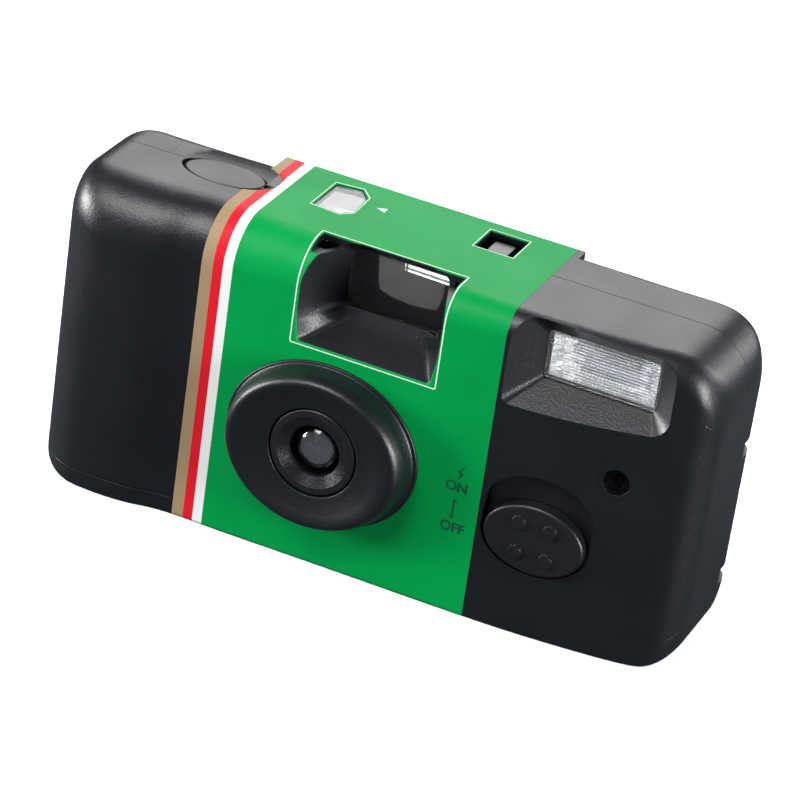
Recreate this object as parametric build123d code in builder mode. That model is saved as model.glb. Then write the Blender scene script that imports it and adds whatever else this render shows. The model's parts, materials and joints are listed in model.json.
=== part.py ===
from build123d import *
import math
import os

os.makedirs("parts", exist_ok=True)

# Frame: X to the right of someone facing the front, Y from the front to the back, Z up,
# origin on the underside, at the middle of the width and the depth. Lengths in millimetres.

# Body form
body_width = 112.0
body_height = 54.0
front_face = -12.0
rear_face = 15.0
wall = 1.3
grip_bulge = 1.5
grip_edge = -31.0
grip_crest = -40.0
slope_start = 20.0
slope_depth = 3.6
nose_left = 9.0
nose_right = 4.2
tail_left = 5.4
tail_right = 2.6
foot_radius = 0.8
least_radius = 0.4
end_nose = 5.5
end_tail = 4.0
left_front_round = 10.0
left_rear_round = 7.5
left_top_round = 5.0
left_foot_round = 2.2
right_front_round = 4.6
right_rear_round = 4.4
right_top_round = 9.0
right_foot_round = 6.0
half_width = body_width / 2

# Rear pad under the label, and the label itself
pad_face = 17.0
pad_left = -29.5
pad_right = 23.0
pad_start = 8.0
pad_radius = 1.5
label_left = -29.8
label_right = 21.8
label_thickness = 0.25
seam_plane = 4.8
deck_left = -45.0
deck_seam = 12.2
deck_floor = 49.6
overrun = 2.0
clearance = 0.3
slip = 0.05

# Taking lens, its surround and the shutter
lens_x = -5.6
lens_z = 21.9
surround_half_width = 16.5
surround_half_height = 14.0
surround_rise = 5.0
surround_round = 3.4
surround_wall = 1.4
surround_bore = 7.6
surround_lip = 1.6
ring_radius = 7.3
ring_front = -15.6
ring_depth = 1.3
ring_hole = 4.3
groove_depth = 0.25
groove_width = 0.3
groove_radii = (5.0, 5.8, 6.6)
dome_radius = 3.5
dome_front = -15.0
dome_rise = 0.9
dome_edge = 1.3
holder_radius = 5.6
holder_bore = 2.4
bulkhead_face = -8.2
bulkhead_depth = 1.0
bulkhead_left = -25.0
bulkhead_right = 9.0
bulkhead_low = 12.6
bulkhead_high = 38.0
aperture_radius = 1.5
aperture_clear = 3.2
plate_gap = 1.0
plate_depth = 0.4
plate_half = 9.0
blade_depth = 0.3
blade_gap = 0.4
blade_radius = 3.6
blade_pivot = (-14.0, 29.6)
blade_width = 3.4
pin_radius = 0.8
hub_radius = 1.9

# Viewfinder
well_left = -13.0
well_right = 11.4
well_low = 38.0
well_corner = 2.0
well_back = -3.2
well_top_edge = -4.7
well_rim = 1.6
throat_left = -8.4
throat_right = 8.2
throat_low = 42.2
throat_high = 52.4
funnel_wall = 1.0
finder_lens_depth = 1.2
tube_wall = 0.9
eyepiece_x = 0.0
eyepiece_z = 47.4
eyepiece_width = 11.0
eyepiece_height = 7.6
eyepiece_depth = 1.6
eyepiece_frame = 1.2

# Flash
recess_left = 22.4
recess_right = 51.8
recess_low = 39.2
recess_top_edge = -9.3
recess_corner = 1.6
recess_end_corner = 6.0
recess_window_corner = 0.8
flash_left = 26.8
flash_right = 45.6
flash_low = 42.9
flash_high = 51.2
flash_back = -7.0
recess_wall = 1.0
diffuser_depth = 1.0
diffuser_rib_count = 16
diffuser_rib = 0.22
reflector_depth = 6.6
reflector_wall = 0.5
reflector_throat = 3.4
tube_radius = 1.3
tube_overhang = 2.4
electrode_radius = 0.5
electrode_length = 2.2

# Flash switch, slider and light guide
switch_x = 31.4
switch_z = 17.6
switch_half_width = 8.4
switch_half_height = 5.9
switch_travel = 4.4
switch_rise = 0.3
switch_gap = 0.5
pocket_depth = 2.0
pocket_wall = 0.8
switch_round = 0.5
bump_pitch = 5.2
bump_radius = 1.15
bump_rise = 0.35
stem_width = 5.0
stem_height = 3.0
stem_drop = 1.8
slider_depth = 0.6
slider_plate_right = 37.0
slider_plate_height = 10.0
slider_arm_left = 16.6
slider_arm_right = 19.6
slider_arm_top = 47.0
slider_arm_height = 3.0
guide_x = 11.1
guide_y = 9.8
guide_width = 3.4
guide_length = 4.4
guide_low = 43.6
guide_drop = 1.0
ready_window_width = 6.6
ready_window_length = 6.8

# Service hole beside the switch
service_x = 42.4
service_z = 31.1
service_radius = 2.2
service_depth = 0.9
service_bore = 1.3
service_boss = 3.4
service_boss_depth = 1.8

# Shutter button, its dish and the release lever
button_x = -34.8
button_y = 4.3
button_half_width = 7.1
button_half_depth = 4.3
button_top = 53.7
button_skirt = 0.9
button_flange = 0.9
button_round = 0.6
dish_x = -34.0
dish_y = 6.0
dish_half_width = 8.8
dish_half_depth = 6.3
dish_depth = 1.2
dish_ball_height = 4.0
press_left = -27.0
press_right = -25.8
press_depth = 2.4
press_gap = 0.1
lever_pivot = (-22.2, 45.3)
lever_y = 2.2
lever_depth = 1.4
lever_tail = 4.2
lever_height = 1.2
lever_bracket = 1.2
striker_pivot = (-20.0, 36.4)
striker_depth = 0.8
striker_arm = 7.0
striker_width = 1.8
striker_tail = 3.6
spring_wire = 0.4
spring_leg = 3.6

# Film path
cartridge_x = -41.0
cartridge_y = 1.1
cartridge_radius = 12.4
cartridge_wall = 0.35
cartridge_low = 1.7
cartridge_height = 43.6
cartridge_cap_lip = 0.35
cartridge_cap_height = 1.6
spool_radius = 5.5
spool_bore = 3.2
spool_flange = 10.6
spool_flange_depth = 0.8
spool_end = 2.6
wheel_radius = 12.8
wheel_low = 45.8
wheel_depth = 2.5
wheel_teeth = 44
wheel_notch = 0.45
wheel_hub = 6.9
wheel_hub_rise = 0.8
scoop_radius = 7.0
scoop_half_width = 11.0
scoop_rise = 50.4
scoop_depth = 3.0
scoop_block = 4.4
film_width = 35.0
film_thickness = 0.18
film_crown = 14.7
film_end = 13.2
film_middle_z = 23.4
gate_width = 36.0
gate_height = 24.0
gate_face = 11.2
gate_left = -26.6
gate_right = 17.0
gate_margin = 1.0
tunnel_front_width = 12.0
tunnel_front_height = 10.0
tunnel_wall = 1.2
chamber_gap = 0.4
chamber_wall = 0.9
chamber_side = -34.0
chamber_rear = 11.0
roll_x = 28.4
roll_y = 4.2
roll_outer = 8.6
roll_inner = 5.0
roll_chamber = 9.6
floor_low = 3.0
floor_depth = 1.2
deck_low = 42.0
frame_left = -28.0
frame_right = 24.0
shelf_right = -15.2
deck_depth = 1.1
sprocket_x = -22.6
sprocket_y = 6.8
sprocket_root = 5.5
sprocket_tip = 6.5
sprocket_teeth = 8
sprocket_low = 38.6
sprocket_depth = 1.8
sprocket_shaft = 1.3
sprocket_top = 50.4
sprocket_cam = 2.6
cam_depth = 1.2
cam_low = 44.4
counter_x = -15.4
counter_y = 5.0
counter_radius = 5.6
counter_low = 49.6
counter_depth = 0.8
counter_teeth = 36
counter_tooth = 0.35
counter_hub = 1.4
counter_tooth_reach = 1.6
counter_post = 0.9
counter_window_points = (
    (-18.9, 3.2), (-18.9, 12.4), (-14.4, 13.0), (-12.5, 10.6), (-12.2, 4.6), (-13.9, 2.8))
window_depth = 1.0
window_drop = 0.35
pawl_pivot = (-24.6, -5.6)
pawl_radius = 1.4
pawl_width = 1.2
pawl_depth = 1.6
pawl_low = 46.2

# Power
battery_radius = 5.2
battery_length = 43.0
battery_left = -25.6
battery_y = -4.6
battery_z = 6.8
battery_nub_radius = 1.9
battery_nub = 1.0
contact_depth = 0.4
contact_width = 7.0
contact_height = 9.0
board_face = -7.9
board_depth = 1.0
board_left = 21.5
board_right = 45.6
board_low = 4.0
board_high = 36.0
capacitor_x = 44.0
capacitor_radius = 4.4
capacitor_low = 14.6
capacitor_length = 25.8
capacitor_round = 0.6
transformer_width = 9.0
transformer_depth = 8.0
transformer_height = 9.5
transformer_x = 44.2
transformer_low = 4.6
transformer_flange = 1.2
coil_radius = 2.6
coil_length = 8.0
coil_left = 30.0
lamp_radius = 1.5
lamp_length = 5.0
leaf_width = 3.0
leaf_depth = 0.3
leaf_length = 12.0

# Cartridge lid in the underside
lid_seam = 3.2
lid_right = -30.0
lid_hinge_y = 11.8
lid_gap = 0.15
hook_width = 4.6
hook_height = 2.6
hook_y = 9.0
hook_places = (31.5, 8.5)


def recede(distance, radius):
    """How far a round of this radius draws a face back, at a distance from the end."""
    if distance >= radius:
        return 0.0
    return radius - math.sqrt(radius ** 2 - (radius - distance) ** 2)


def run_share(value, start, end):
    """Share of the way from start to end, held between nothing and all of it."""
    return min(max((value - start) / (end - start), 0), 1)


def smooth_share(share):
    """The same share with soft starts and stops."""
    return share * share * (3 - 2 * share)


# Stations along the width, close together where the ends turn
left_round_shares = (0, 0.025, 0.09, 0.2, 0.35, 0.52, 0.75, 1.0)
right_round_shares = (1.0, 0.74, 0.53, 0.36, 0.21, 0.1, 0.03, 0)
bulge_shares = (0.95, 0.67, 0.33, 0)
middle_shares = (0.12, 0.4, 0.7, 1.0)
slope_shares = (0.33, 0.6)
stations = (
    [-half_width + share * left_front_round for share in left_round_shares]
    + [grip_edge + share * (grip_crest - grip_edge) for share in bulge_shares]
    + [grip_edge + share * (slope_start - grip_edge) for share in middle_shares]
    + [slope_start + share * (half_width - slope_start) for share in slope_shares]
    + [half_width - share * right_top_round for share in right_round_shares])


def body_form(inset):
    """The body without its pad, drawn in from the outside by the inset."""
    squeeze_share = (half_width - inset) / half_width
    with BuildPart() as form:
        for place in stations:
            left = half_width + place
            right = half_width - place
            bulge = grip_bulge * smooth_share(run_share(place, grip_edge, grip_crest))
            slope = slope_depth * run_share(place, slope_start, half_width) ** 2
            along = run_share(place, grip_crest, slope_start)
            ending = max(1 - left / left_front_round, 1 - right / right_top_round, 0) ** 2
            nose = nose_left + (nose_right - nose_left) * along
            tail = tail_left + (tail_right - tail_left) * along
            nose = nose + (end_nose - nose) * ending
            tail = tail + (end_tail - tail) * ending
            foot = foot_radius + (end_tail - foot_radius) * ending
            front = front_face - bulge + slope + inset
            front += recede(left, left_front_round) + recede(right, right_front_round)
            rear = rear_face - inset
            rear -= recede(left, left_rear_round) + recede(right, right_rear_round)
            high = body_height - inset
            high -= recede(left, left_top_round) + recede(right, right_top_round)
            low = inset + recede(left, left_foot_round) + recede(right, right_foot_round)
            with BuildSketch(Plane.YZ.offset(place * squeeze_share)):
                with BuildLine():
                    FilletPolyline(
                        (front, low), (front, high), (rear, high), (rear, low),
                        radius=[max(size - inset, least_radius) for size in (foot, nose, tail, foot)],
                        close=True)
                make_face()
        loft()
        # Top and underside are true planes
        add(block(
            (-body_width, front_face - body_height, inset),
            (body_width, rear_face - inset, body_height - inset)), mode=Mode.INTERSECT)
    return form.part


def block(low, high):
    """A box between two corners."""
    with BuildPart() as box:
        with Locations(tuple((a + b) / 2 for a, b in zip(low, high))):
            Box(*[b - a for a, b in zip(low, high)])
    return box.part


def pad_form(inset):
    """The raised pad on the back."""
    with BuildPart() as pad:
        add(block(
            (pad_left + inset, pad_start, inset),
            (pad_right - inset, pad_face - inset, body_height - inset)))
        back = pad.faces().sort_by(Axis.Y)[-1]
        fillet(back.edges(), max(pad_radius - inset, least_radius))
    return pad.part


def whole_form(inset):
    """Body and pad together."""
    with BuildPart() as form:
        add(body_form(inset))
        add(pad_form(inset))
    return form.part


def d_funnel(front_box, back_box, left_corner, right_corner, back_corner):
    """A loft along Y whose front has tight left corners and wide right ones."""
    with BuildPart() as hollow:
        for box, near, far in ((front_box, left_corner, right_corner), (back_box, back_corner, back_corner)):
            left, right, low, high, y = box
            with BuildSketch(Plane.XZ.offset(-y)) as outline:
                with Locations(((left + right) / 2, (low + high) / 2)):
                    Rectangle(right - left, high - low)
                ends = outline.vertices().group_by(Axis.X)
                fillet(ends[0], near)
                fillet(outline.vertices().group_by(Axis.X)[-1], far)
        loft()
    return hollow.part


def upright_prism(points, low, high):
    """A closed outline in plan, raised from low to high."""
    with BuildPart() as prism:
        with BuildSketch(Plane.XY.offset(low)):
            with BuildLine():
                Polyline(*points, close=True)
            make_face()
        extrude(amount=high - low)
    return prism.part


def disc_y(x, z, radius, front, back):
    """A round of one radius along Y."""
    with BuildPart() as disc:
        with BuildSketch(Plane.XZ.offset(-back)):
            with Locations((x, z)):
                Circle(radius)
        extrude(amount=back - front)
    return disc.part


def disc_z(x, y, radius, low, high):
    """A round of one radius along Z."""
    with BuildPart() as disc:
        with BuildSketch(Plane.XY.offset(low)):
            with Locations((x, y)):
                Circle(radius)
        extrude(amount=high - low)
    return disc.part


def oval_y(x, z, half_wide, half_high, front, back):
    """An oval along Y."""
    with BuildPart() as oval:
        with BuildSketch(Plane.XZ.offset(-back)):
            with Locations((x, z)):
                Ellipse(half_wide, half_high)
        extrude(amount=back - front)
    return oval.part


def funnel(front_box, back_box, corner):
    """A loft along Y between two rounded rectangles: (left, right, low, high, y) each."""
    with BuildPart() as hollow:
        for left, right, low, high, y in (front_box, back_box):
            with BuildSketch(Plane.XZ.offset(-y)):
                with Locations(((left + right) / 2, (low + high) / 2)):
                    RectangleRounded(right - left, high - low, corner)
        loft()
    return hollow.part


def save(builder, name):
    """Label one finished piece and write its file."""
    builder.part.label = name
    export_step(builder.part, "parts/" + name + ".step")


# Shared forms
outside = whole_form(0)
under_label = whole_form(label_thickness)
cavity = whole_form(wall)
label_zone = block(
    (label_left, front_face - overrun, -overrun),
    (label_right, pad_face + overrun, body_height + overrun))
with BuildPart() as label_band:
    add(outside)
    add(under_label, mode=Mode.SUBTRACT)
    add(label_zone, mode=Mode.INTERSECT)

# The viewfinder well opens over the nose: its roof line meets the top at the well's top edge
well_roof_share = (well_top_edge - front_face) / (well_back - front_face)
well_high = throat_high + (body_height - throat_high) / (1 - well_roof_share)
well_front = front_face - overrun
well_reach_share = (well_back - well_front) / (well_back - front_face)


def reach_back(front_value, back_value):
    """Where a sloping side stands one overrun ahead of the front face."""
    return back_value + (front_value - back_value) * well_reach_share


well_hollow = funnel(
    (reach_back(well_left, throat_left), reach_back(well_right, throat_right),
     reach_back(well_low, throat_low), reach_back(well_high, throat_high), well_front),
    (throat_left, throat_right, throat_low, throat_high, well_back), well_corner / 2)
well_jacket = funnel(
    (well_left - funnel_wall, well_right + funnel_wall, well_low - funnel_wall,
     well_high + funnel_wall, front_face),
    (throat_left - funnel_wall, throat_right + funnel_wall, throat_low - funnel_wall,
     throat_high + funnel_wall, well_back), well_corner / 2)
well_rim_cut = block(
    (well_left, front_face - overrun, body_height - well_rim),
    (well_right, well_top_edge, body_height + overrun))

# The flash recess is built the same way
recess_roof_share = (recess_top_edge - front_face) / (flash_back - front_face)
recess_high = flash_high + (body_height - flash_high) / (1 - recess_roof_share)
recess_front = front_face - grip_bulge
recess_reach_share = (flash_back - recess_front) / (flash_back - front_face)


def recess_reach(front_value, back_value):
    """Where a sloping side of the recess stands ahead of the front face."""
    return back_value + (front_value - back_value) * recess_reach_share


recess_hollow = d_funnel(
    (recess_reach(recess_left, flash_left), recess_reach(recess_right, flash_right),
     recess_reach(recess_low, flash_low), recess_reach(recess_high, flash_high), recess_front),
    (flash_left, flash_right, flash_low, flash_high, flash_back),
    recess_corner, recess_end_corner, recess_window_corner)
recess_jacket = d_funnel(
    (recess_left - recess_wall, recess_right + recess_wall, recess_low - recess_wall,
     recess_high + recess_wall, front_face),
    (flash_left - recess_wall, flash_right + recess_wall, flash_low - recess_wall,
     flash_high + recess_wall, flash_back),
    recess_corner + recess_wall, recess_end_corner + recess_wall, recess_window_corner + recess_wall)

# Switch pocket: the knob's oval swept up over its travel
with BuildPart() as switch_pocket:
    with BuildSketch(Plane.XZ.offset(-front_face - pocket_depth)):
        for lift in (0, switch_travel):
            with Locations((switch_x, switch_z + lift)):
                Ellipse(switch_half_width + switch_gap, switch_half_height + switch_gap)
        with Locations((switch_x, switch_z + switch_travel / 2)):
            Rectangle(2 * (switch_half_width + switch_gap), switch_travel)
    extrude(amount=pocket_depth + overrun)
stem_low = switch_z - stem_drop - stem_height / 2
stem_high = switch_z - stem_drop + stem_height / 2
stem_slot = block(
    (switch_x - stem_width / 2 - clearance, front_face, stem_low - clearance),
    (switch_x + stem_width / 2 + clearance, front_face + pocket_depth + wall + overrun,
     stem_high + switch_travel + clearance))
pocket_floor = front_face + pocket_depth + pocket_wall

# Dish round the button: the cap of a flattened ball
ball_share = math.sqrt(1 - ((dish_ball_height - dish_depth) / dish_ball_height) ** 2)
unit_ball = Solid.make_sphere(1, Plane.XY, -90, 90, 360)
dish_ball = scale(unit_ball, by=(
    dish_half_width / ball_share, dish_half_depth / ball_share, dish_ball_height))
dish_ball = Pos(dish_x, dish_y, body_height + dish_ball_height - dish_depth) * dish_ball
dish_under = Pos(0, 0, -wall) * dish_ball

ready_window_cut = block(
    (guide_x - ready_window_width / 2, guide_y - ready_window_length / 2, body_height - wall - overrun),
    (guide_x + ready_window_width / 2, guide_y + ready_window_length / 2, body_height + overrun))
counter_window_cut = upright_prism(
    counter_window_points, body_height - wall - overrun, body_height + overrun)
eyepiece_cut = block(
    (eyepiece_x - eyepiece_width / 2, rear_face - overrun, eyepiece_z - eyepiece_height / 2),
    (eyepiece_x + eyepiece_width / 2, pad_face + overrun, eyepiece_z + eyepiece_height / 2))

# Where the front cover reaches: ahead of the seam, and round the button
with BuildPart() as front_zone:
    add(block((-body_width, front_face - body_height, -overrun), (body_width, seam_plane, body_height + overrun)))
    add(block((deck_left, 0, deck_floor), (label_left + overrun, deck_seam, body_height + overrun)))
lid_zone = block(
    (-body_width, front_face - body_height, -overrun), (lid_right, lid_hinge_y, lid_seam))
lid_zone_gap = block(
    (-body_width, front_face - body_height, -overrun), (lid_right + lid_gap, lid_hinge_y + lid_gap, lid_seam + lid_gap))

# Label: the printed wrap with its windows
with BuildPart() as label:
    add(label_band)
    add([
        well_hollow, well_rim_cut, counter_window_cut, ready_window_cut, eyepiece_cut, dish_ball,
        oval_y(lens_x, lens_z, surround_half_width + slip, surround_half_height + slip,
               front_face - overrun, front_face + overrun),
    ], mode=Mode.SUBTRACT)
save(label, "label")

wheel_slot = disc_z(
    cartridge_x, cartridge_y, wheel_radius + clearance, wheel_low - clearance,
    wheel_low + wheel_depth + clearance)

# Front cover
front_walls = [
    well_jacket & under_label,
    recess_jacket & outside,
    (Pos(0, pocket_wall, 0) * switch_pocket.part) & cavity,
    dish_under & cavity & front_zone.part,
    disc_y(service_x, service_z, service_boss, front_face + slip, front_face + wall + service_boss_depth),
]
front_cuts = [
    label.part,
    wheel_slot,
    disc_y(lens_x, lens_z, surround_bore, front_face - surround_rise - overrun, front_face),
    well_hollow,
    well_rim_cut,
    recess_hollow,
    switch_pocket.part,
    stem_slot,
    dish_ball,
    disc_y(service_x, service_z, service_radius, front_face - overrun, front_face + service_depth),
    disc_y(service_x, service_z, service_bore, front_face, front_face + service_boss_depth),
    counter_window_cut,
    ready_window_cut,
    lid_zone_gap,
]
with BuildPart() as surround:
    add(oval_y(lens_x, lens_z, surround_half_width, surround_half_height, front_face - surround_rise,
               front_face + wall))
    crest = surround.faces().sort_by(Axis.Y)[0].edges()
    fillet(crest, surround_round)
    add(oval_y(lens_x, lens_z, surround_half_width - surround_wall, surround_half_height - surround_wall,
               front_face - surround_rise + 2 * surround_wall, front_face + wall + overrun), mode=Mode.SUBTRACT)
    add(disc_y(lens_x, lens_z, surround_bore, front_face - surround_rise - overrun, front_face),
        mode=Mode.SUBTRACT)
    mouth = surround.faces().sort_by(Axis.Y)[0].edges().filter_by(GeomType.CIRCLE)
    fillet(mouth, surround_lip)
with BuildPart() as front_cover:
    add(outside)
    add([cavity, label_band.part], mode=Mode.SUBTRACT)
    add(front_zone.part, mode=Mode.INTERSECT)
    add(oval_y(lens_x, lens_z, surround_half_width - surround_wall, surround_half_height - surround_wall,
               front_face - overrun, front_face + wall + overrun), mode=Mode.SUBTRACT)
    add(front_walls + [surround.part])
    add(front_cuts, mode=Mode.SUBTRACT)
    with BuildSketch(Plane.XY.offset(deck_floor)):
        with Locations((button_x, button_y)):
            Ellipse(button_half_width + clearance, button_half_depth + clearance)
    extrude(amount=body_height, mode=Mode.SUBTRACT)
save(front_cover, "front_cover")

# Rear cover
scoop_centre_y = rear_face + scoop_radius - scoop_depth
with BuildPart() as scoop:
    with BuildSketch(Plane.YZ.offset(cartridge_x - scoop_half_width)):
        with Locations((scoop_centre_y, scoop_rise)):
            Circle(scoop_radius)
    extrude(amount=2 * scoop_half_width)
    fillet(scoop.edges().filter_by(GeomType.CIRCLE), scoop_depth)
scoop_backing = (block(
    (cartridge_x - scoop_half_width, rear_face - scoop_block, wheel_low + wheel_depth + clearance),
    (cartridge_x + scoop_half_width, rear_face, body_height)) & outside) - front_zone.part
hook_windows = [
    block((half_width - wall - overrun, hook_y, low), (half_width + overrun, hook_y + hook_width, low + hook_height))
    for low in hook_places]
eyepiece_tube = block(
    (eyepiece_x - eyepiece_width / 2 - eyepiece_frame, pad_face - eyepiece_depth - wall,
     eyepiece_z - eyepiece_height / 2 - eyepiece_frame),
    (eyepiece_x + eyepiece_width / 2 + eyepiece_frame, pad_face - label_thickness,
     eyepiece_z + eyepiece_height / 2 + eyepiece_frame))
with BuildPart() as rear_cover:
    add(outside)
    add([cavity, label_band.part, front_zone.part, lid_zone_gap], mode=Mode.SUBTRACT)
    add([scoop_backing, eyepiece_tube])
    add([scoop.part, wheel_slot, eyepiece_cut, counter_window_cut, ready_window_cut] + hook_windows,
        mode=Mode.SUBTRACT)
save(rear_cover, "rear_cover")

# Cartridge lid: the corner of the shell under the film can
with BuildPart() as cartridge_lid:
    add(outside)
    add(cavity, mode=Mode.SUBTRACT)
    add(lid_zone, mode=Mode.INTERSECT)
save(cartridge_lid, "cartridge_lid")

# Main frame: gate plate, light tunnel, chambers, bulkhead, deck and viewfinder tube
film_low = film_middle_z - film_width / 2
film_high = film_middle_z + film_width / 2


def film_face(offset):
    """The curved line of the film in plan, moved back by an offset, as three points."""
    return [
        (gate_left, film_end + offset),
        ((gate_left + gate_right) / 2, film_crown + offset),
        (gate_right, film_end + offset)]


tunnel_back_box = (
    lens_x - gate_width / 2 - tunnel_wall, lens_x + gate_width / 2 + tunnel_wall,
    film_middle_z - gate_height / 2 - tunnel_wall, film_middle_z + gate_height / 2 + tunnel_wall, gate_face)
tunnel_front_box = (
    lens_x - tunnel_front_width / 2 - tunnel_wall, lens_x + tunnel_front_width / 2 + tunnel_wall,
    lens_z - tunnel_front_height / 2 - tunnel_wall, lens_z + tunnel_front_height / 2 + tunnel_wall,
    bulkhead_face + bulkhead_depth)
tunnel_back_hollow = (
    lens_x - gate_width / 2, lens_x + gate_width / 2,
    film_middle_z - gate_height / 2, film_middle_z + gate_height / 2, gate_face)
tunnel_front_hollow = (
    lens_x - tunnel_front_width / 2, lens_x + tunnel_front_width / 2,
    lens_z - tunnel_front_height / 2, lens_z + tunnel_front_height / 2, bulkhead_face + bulkhead_depth)
finder_back = pad_face - eyepiece_depth - wall - clearance
finder_front = (throat_left - clearance, throat_right + clearance, throat_low - clearance,
                throat_high - tube_wall + clearance, well_back + finder_lens_depth + clearance)
finder_rear = (eyepiece_x - eyepiece_width / 2, eyepiece_x + eyepiece_width / 2,
               eyepiece_z - eyepiece_height / 2, eyepiece_z + eyepiece_height / 2, finder_back)


def grown(box, margin):
    """A funnel end made larger all round."""
    left, right, low, high, y = box
    return (left - margin, right + margin, low - margin, high + margin, y)


deck_front = well_back + finder_lens_depth + clearance
striker_front = bulkhead_face - plate_gap - striker_depth
with BuildPart() as chamber_walls:
    for x, y, bore, low, high in (
            (cartridge_x, cartridge_y, cartridge_radius + chamber_gap, floor_low, cartridge_low + cartridge_height),
            (roll_x, roll_y, roll_chamber, floor_low, deck_low)):
        with BuildSketch(Plane.XY.offset(low)):
            with Locations((x, y)):
                Circle(bore + chamber_wall)
                Circle(bore, mode=Mode.SUBTRACT)
        extrude(amount=high - low)
    add(disc_z(roll_x, roll_y, roll_chamber + slip, film_low - clearance - floor_depth, film_low - clearance))
    add(block((-body_width, -body_height, -overrun), (chamber_side, body_height, body_height)), mode=Mode.SUBTRACT)
    add(block((-body_width, chamber_rear, -overrun), (body_width, body_height, body_height)), mode=Mode.SUBTRACT)
with BuildPart() as main_frame:
    with BuildSketch(Plane.XY.offset(film_low - gate_margin)):
        with BuildLine():
            ThreePointArc(*film_face(-slip))
            Polyline(
                (gate_right, film_end - slip), (gate_right, gate_face), (gate_left, gate_face),
                (gate_left, film_end - slip))
        make_face()
    extrude(amount=film_width + 2 * gate_margin)
    add([
        chamber_walls.part,
        funnel(tunnel_front_box, tunnel_back_box, tunnel_wall),
        block((bulkhead_left, bulkhead_face, bulkhead_low),
              (bulkhead_right, bulkhead_face + bulkhead_depth, bulkhead_high)),
        block((frame_left, deck_front, deck_low), (frame_right, gate_face, deck_low + deck_depth)),
        block((frame_left, bulkhead_face, deck_low), (shelf_right, deck_front, deck_low + deck_depth)),
        block((bulkhead_left, bulkhead_face, bulkhead_high),
              (shelf_right, bulkhead_face + bulkhead_depth, deck_low)),
        block((lever_pivot[0] - hub_radius, lever_y - lever_bracket, deck_low),
              (lever_pivot[0] + hub_radius, lever_y, lever_pivot[1] + hub_radius)),
        disc_y(lever_pivot[0], lever_pivot[1], pin_radius, lever_y, lever_y + lever_depth),
        disc_y(striker_pivot[0], striker_pivot[1], pin_radius, striker_front, bulkhead_face),
        block((gate_left, gate_face - 2 * deck_depth, film_high),
              (gate_right, gate_face, deck_low + deck_depth)),
        block((gate_right - 2 * deck_depth, gate_face - 2 * deck_depth, floor_low),
              (gate_right, gate_face, film_high)),
        funnel(grown(finder_front, tube_wall), grown(finder_rear, tube_wall), tube_wall),
        disc_z(counter_x, counter_y, counter_hub, deck_low, counter_low - slip),
        disc_z(counter_x, counter_y, counter_post, deck_low, counter_low + counter_depth),
        disc_z(pawl_pivot[0], pawl_pivot[1], pin_radius, deck_low, pawl_low + pawl_depth),
    ])
    add([
        funnel(tunnel_front_hollow, tunnel_back_hollow, tunnel_wall),
        block((tunnel_back_hollow[0], gate_face - slip, tunnel_back_hollow[2]),
              (tunnel_back_hollow[1], pad_face, tunnel_back_hollow[3])),
        disc_y(lens_x, lens_z, aperture_clear, bulkhead_face - overrun, bulkhead_face + 2 * bulkhead_depth),
        funnel(finder_front, finder_rear, tube_wall),
        disc_z(sprocket_x, sprocket_y, sprocket_tip + clearance, sprocket_low - clearance, deck_low),
        disc_z(sprocket_x, sprocket_y, sprocket_shaft + slip, deck_low - overrun, deck_low + 2 * deck_depth),
        disc_z(guide_x, guide_y, lamp_radius + clearance, guide_low - lamp_length - overrun, deck_low + 2 * deck_depth),
    ], mode=Mode.SUBTRACT)
save(main_frame, "main_frame")

# Film can, spool, thumb wheel, film
cartridge_high = cartridge_low + cartridge_height
with BuildPart() as film_cartridge:
    with BuildSketch(Plane.XY.offset(cartridge_low)):
        with Locations((cartridge_x, cartridge_y)):
            Circle(cartridge_radius - cartridge_cap_lip)
    extrude(amount=cartridge_height)
    for low in (cartridge_low, cartridge_high - cartridge_cap_height):
        add(disc_z(cartridge_x, cartridge_y, cartridge_radius, low, low + cartridge_cap_height))
    add(disc_z(cartridge_x, cartridge_y, cartridge_radius - cartridge_cap_lip - cartridge_wall,
               cartridge_low + cartridge_wall, cartridge_high - cartridge_wall), mode=Mode.SUBTRACT)
    add(disc_z(cartridge_x, cartridge_y, spool_radius + slip, cartridge_low - overrun, cartridge_high + overrun),
        mode=Mode.SUBTRACT)
save(film_cartridge, "film_cartridge")

wheel_high = wheel_low + wheel_depth
with BuildPart() as cartridge_spool:
    add([
        disc_z(cartridge_x, cartridge_y, spool_radius, cartridge_low + slip, wheel_high - slip),
        disc_z(cartridge_x, cartridge_y, spool_flange, cartridge_low + 2 * spool_flange_depth,
               cartridge_low + 3 * spool_flange_depth),
        disc_z(cartridge_x, cartridge_y, spool_flange, cartridge_high - 3 * spool_flange_depth,
               cartridge_high - 2 * spool_flange_depth),
    ])
    add(disc_z(cartridge_x, cartridge_y, spool_bore, cartridge_low - overrun, cartridge_low + spool_end + slip),
        mode=Mode.SUBTRACT)
    add(block(
        (cartridge_x - spool_radius, cartridge_y - spool_flange_depth / 2, cartridge_low + slip),
        (cartridge_x + spool_radius, cartridge_y + spool_flange_depth / 2, cartridge_low + spool_end + 2 * slip)))
save(cartridge_spool, "cartridge_spool")

with BuildPart() as thumb_wheel:
    add([
        disc_z(cartridge_x, cartridge_y, wheel_radius, wheel_low, wheel_high),
        disc_z(cartridge_x, cartridge_y, wheel_hub, wheel_high - slip, wheel_high + wheel_hub_rise),
    ])
    with BuildSketch(Plane.XY.offset(wheel_low)):
        with Locations((cartridge_x, cartridge_y)):
            with PolarLocations(wheel_radius, wheel_teeth):
                Circle(wheel_notch)
    extrude(amount=wheel_depth, mode=Mode.SUBTRACT)
    add(disc_z(cartridge_x, cartridge_y, spool_radius + slip, wheel_low - overrun, wheel_high), mode=Mode.SUBTRACT)
save(thumb_wheel, "thumb_wheel")

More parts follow.
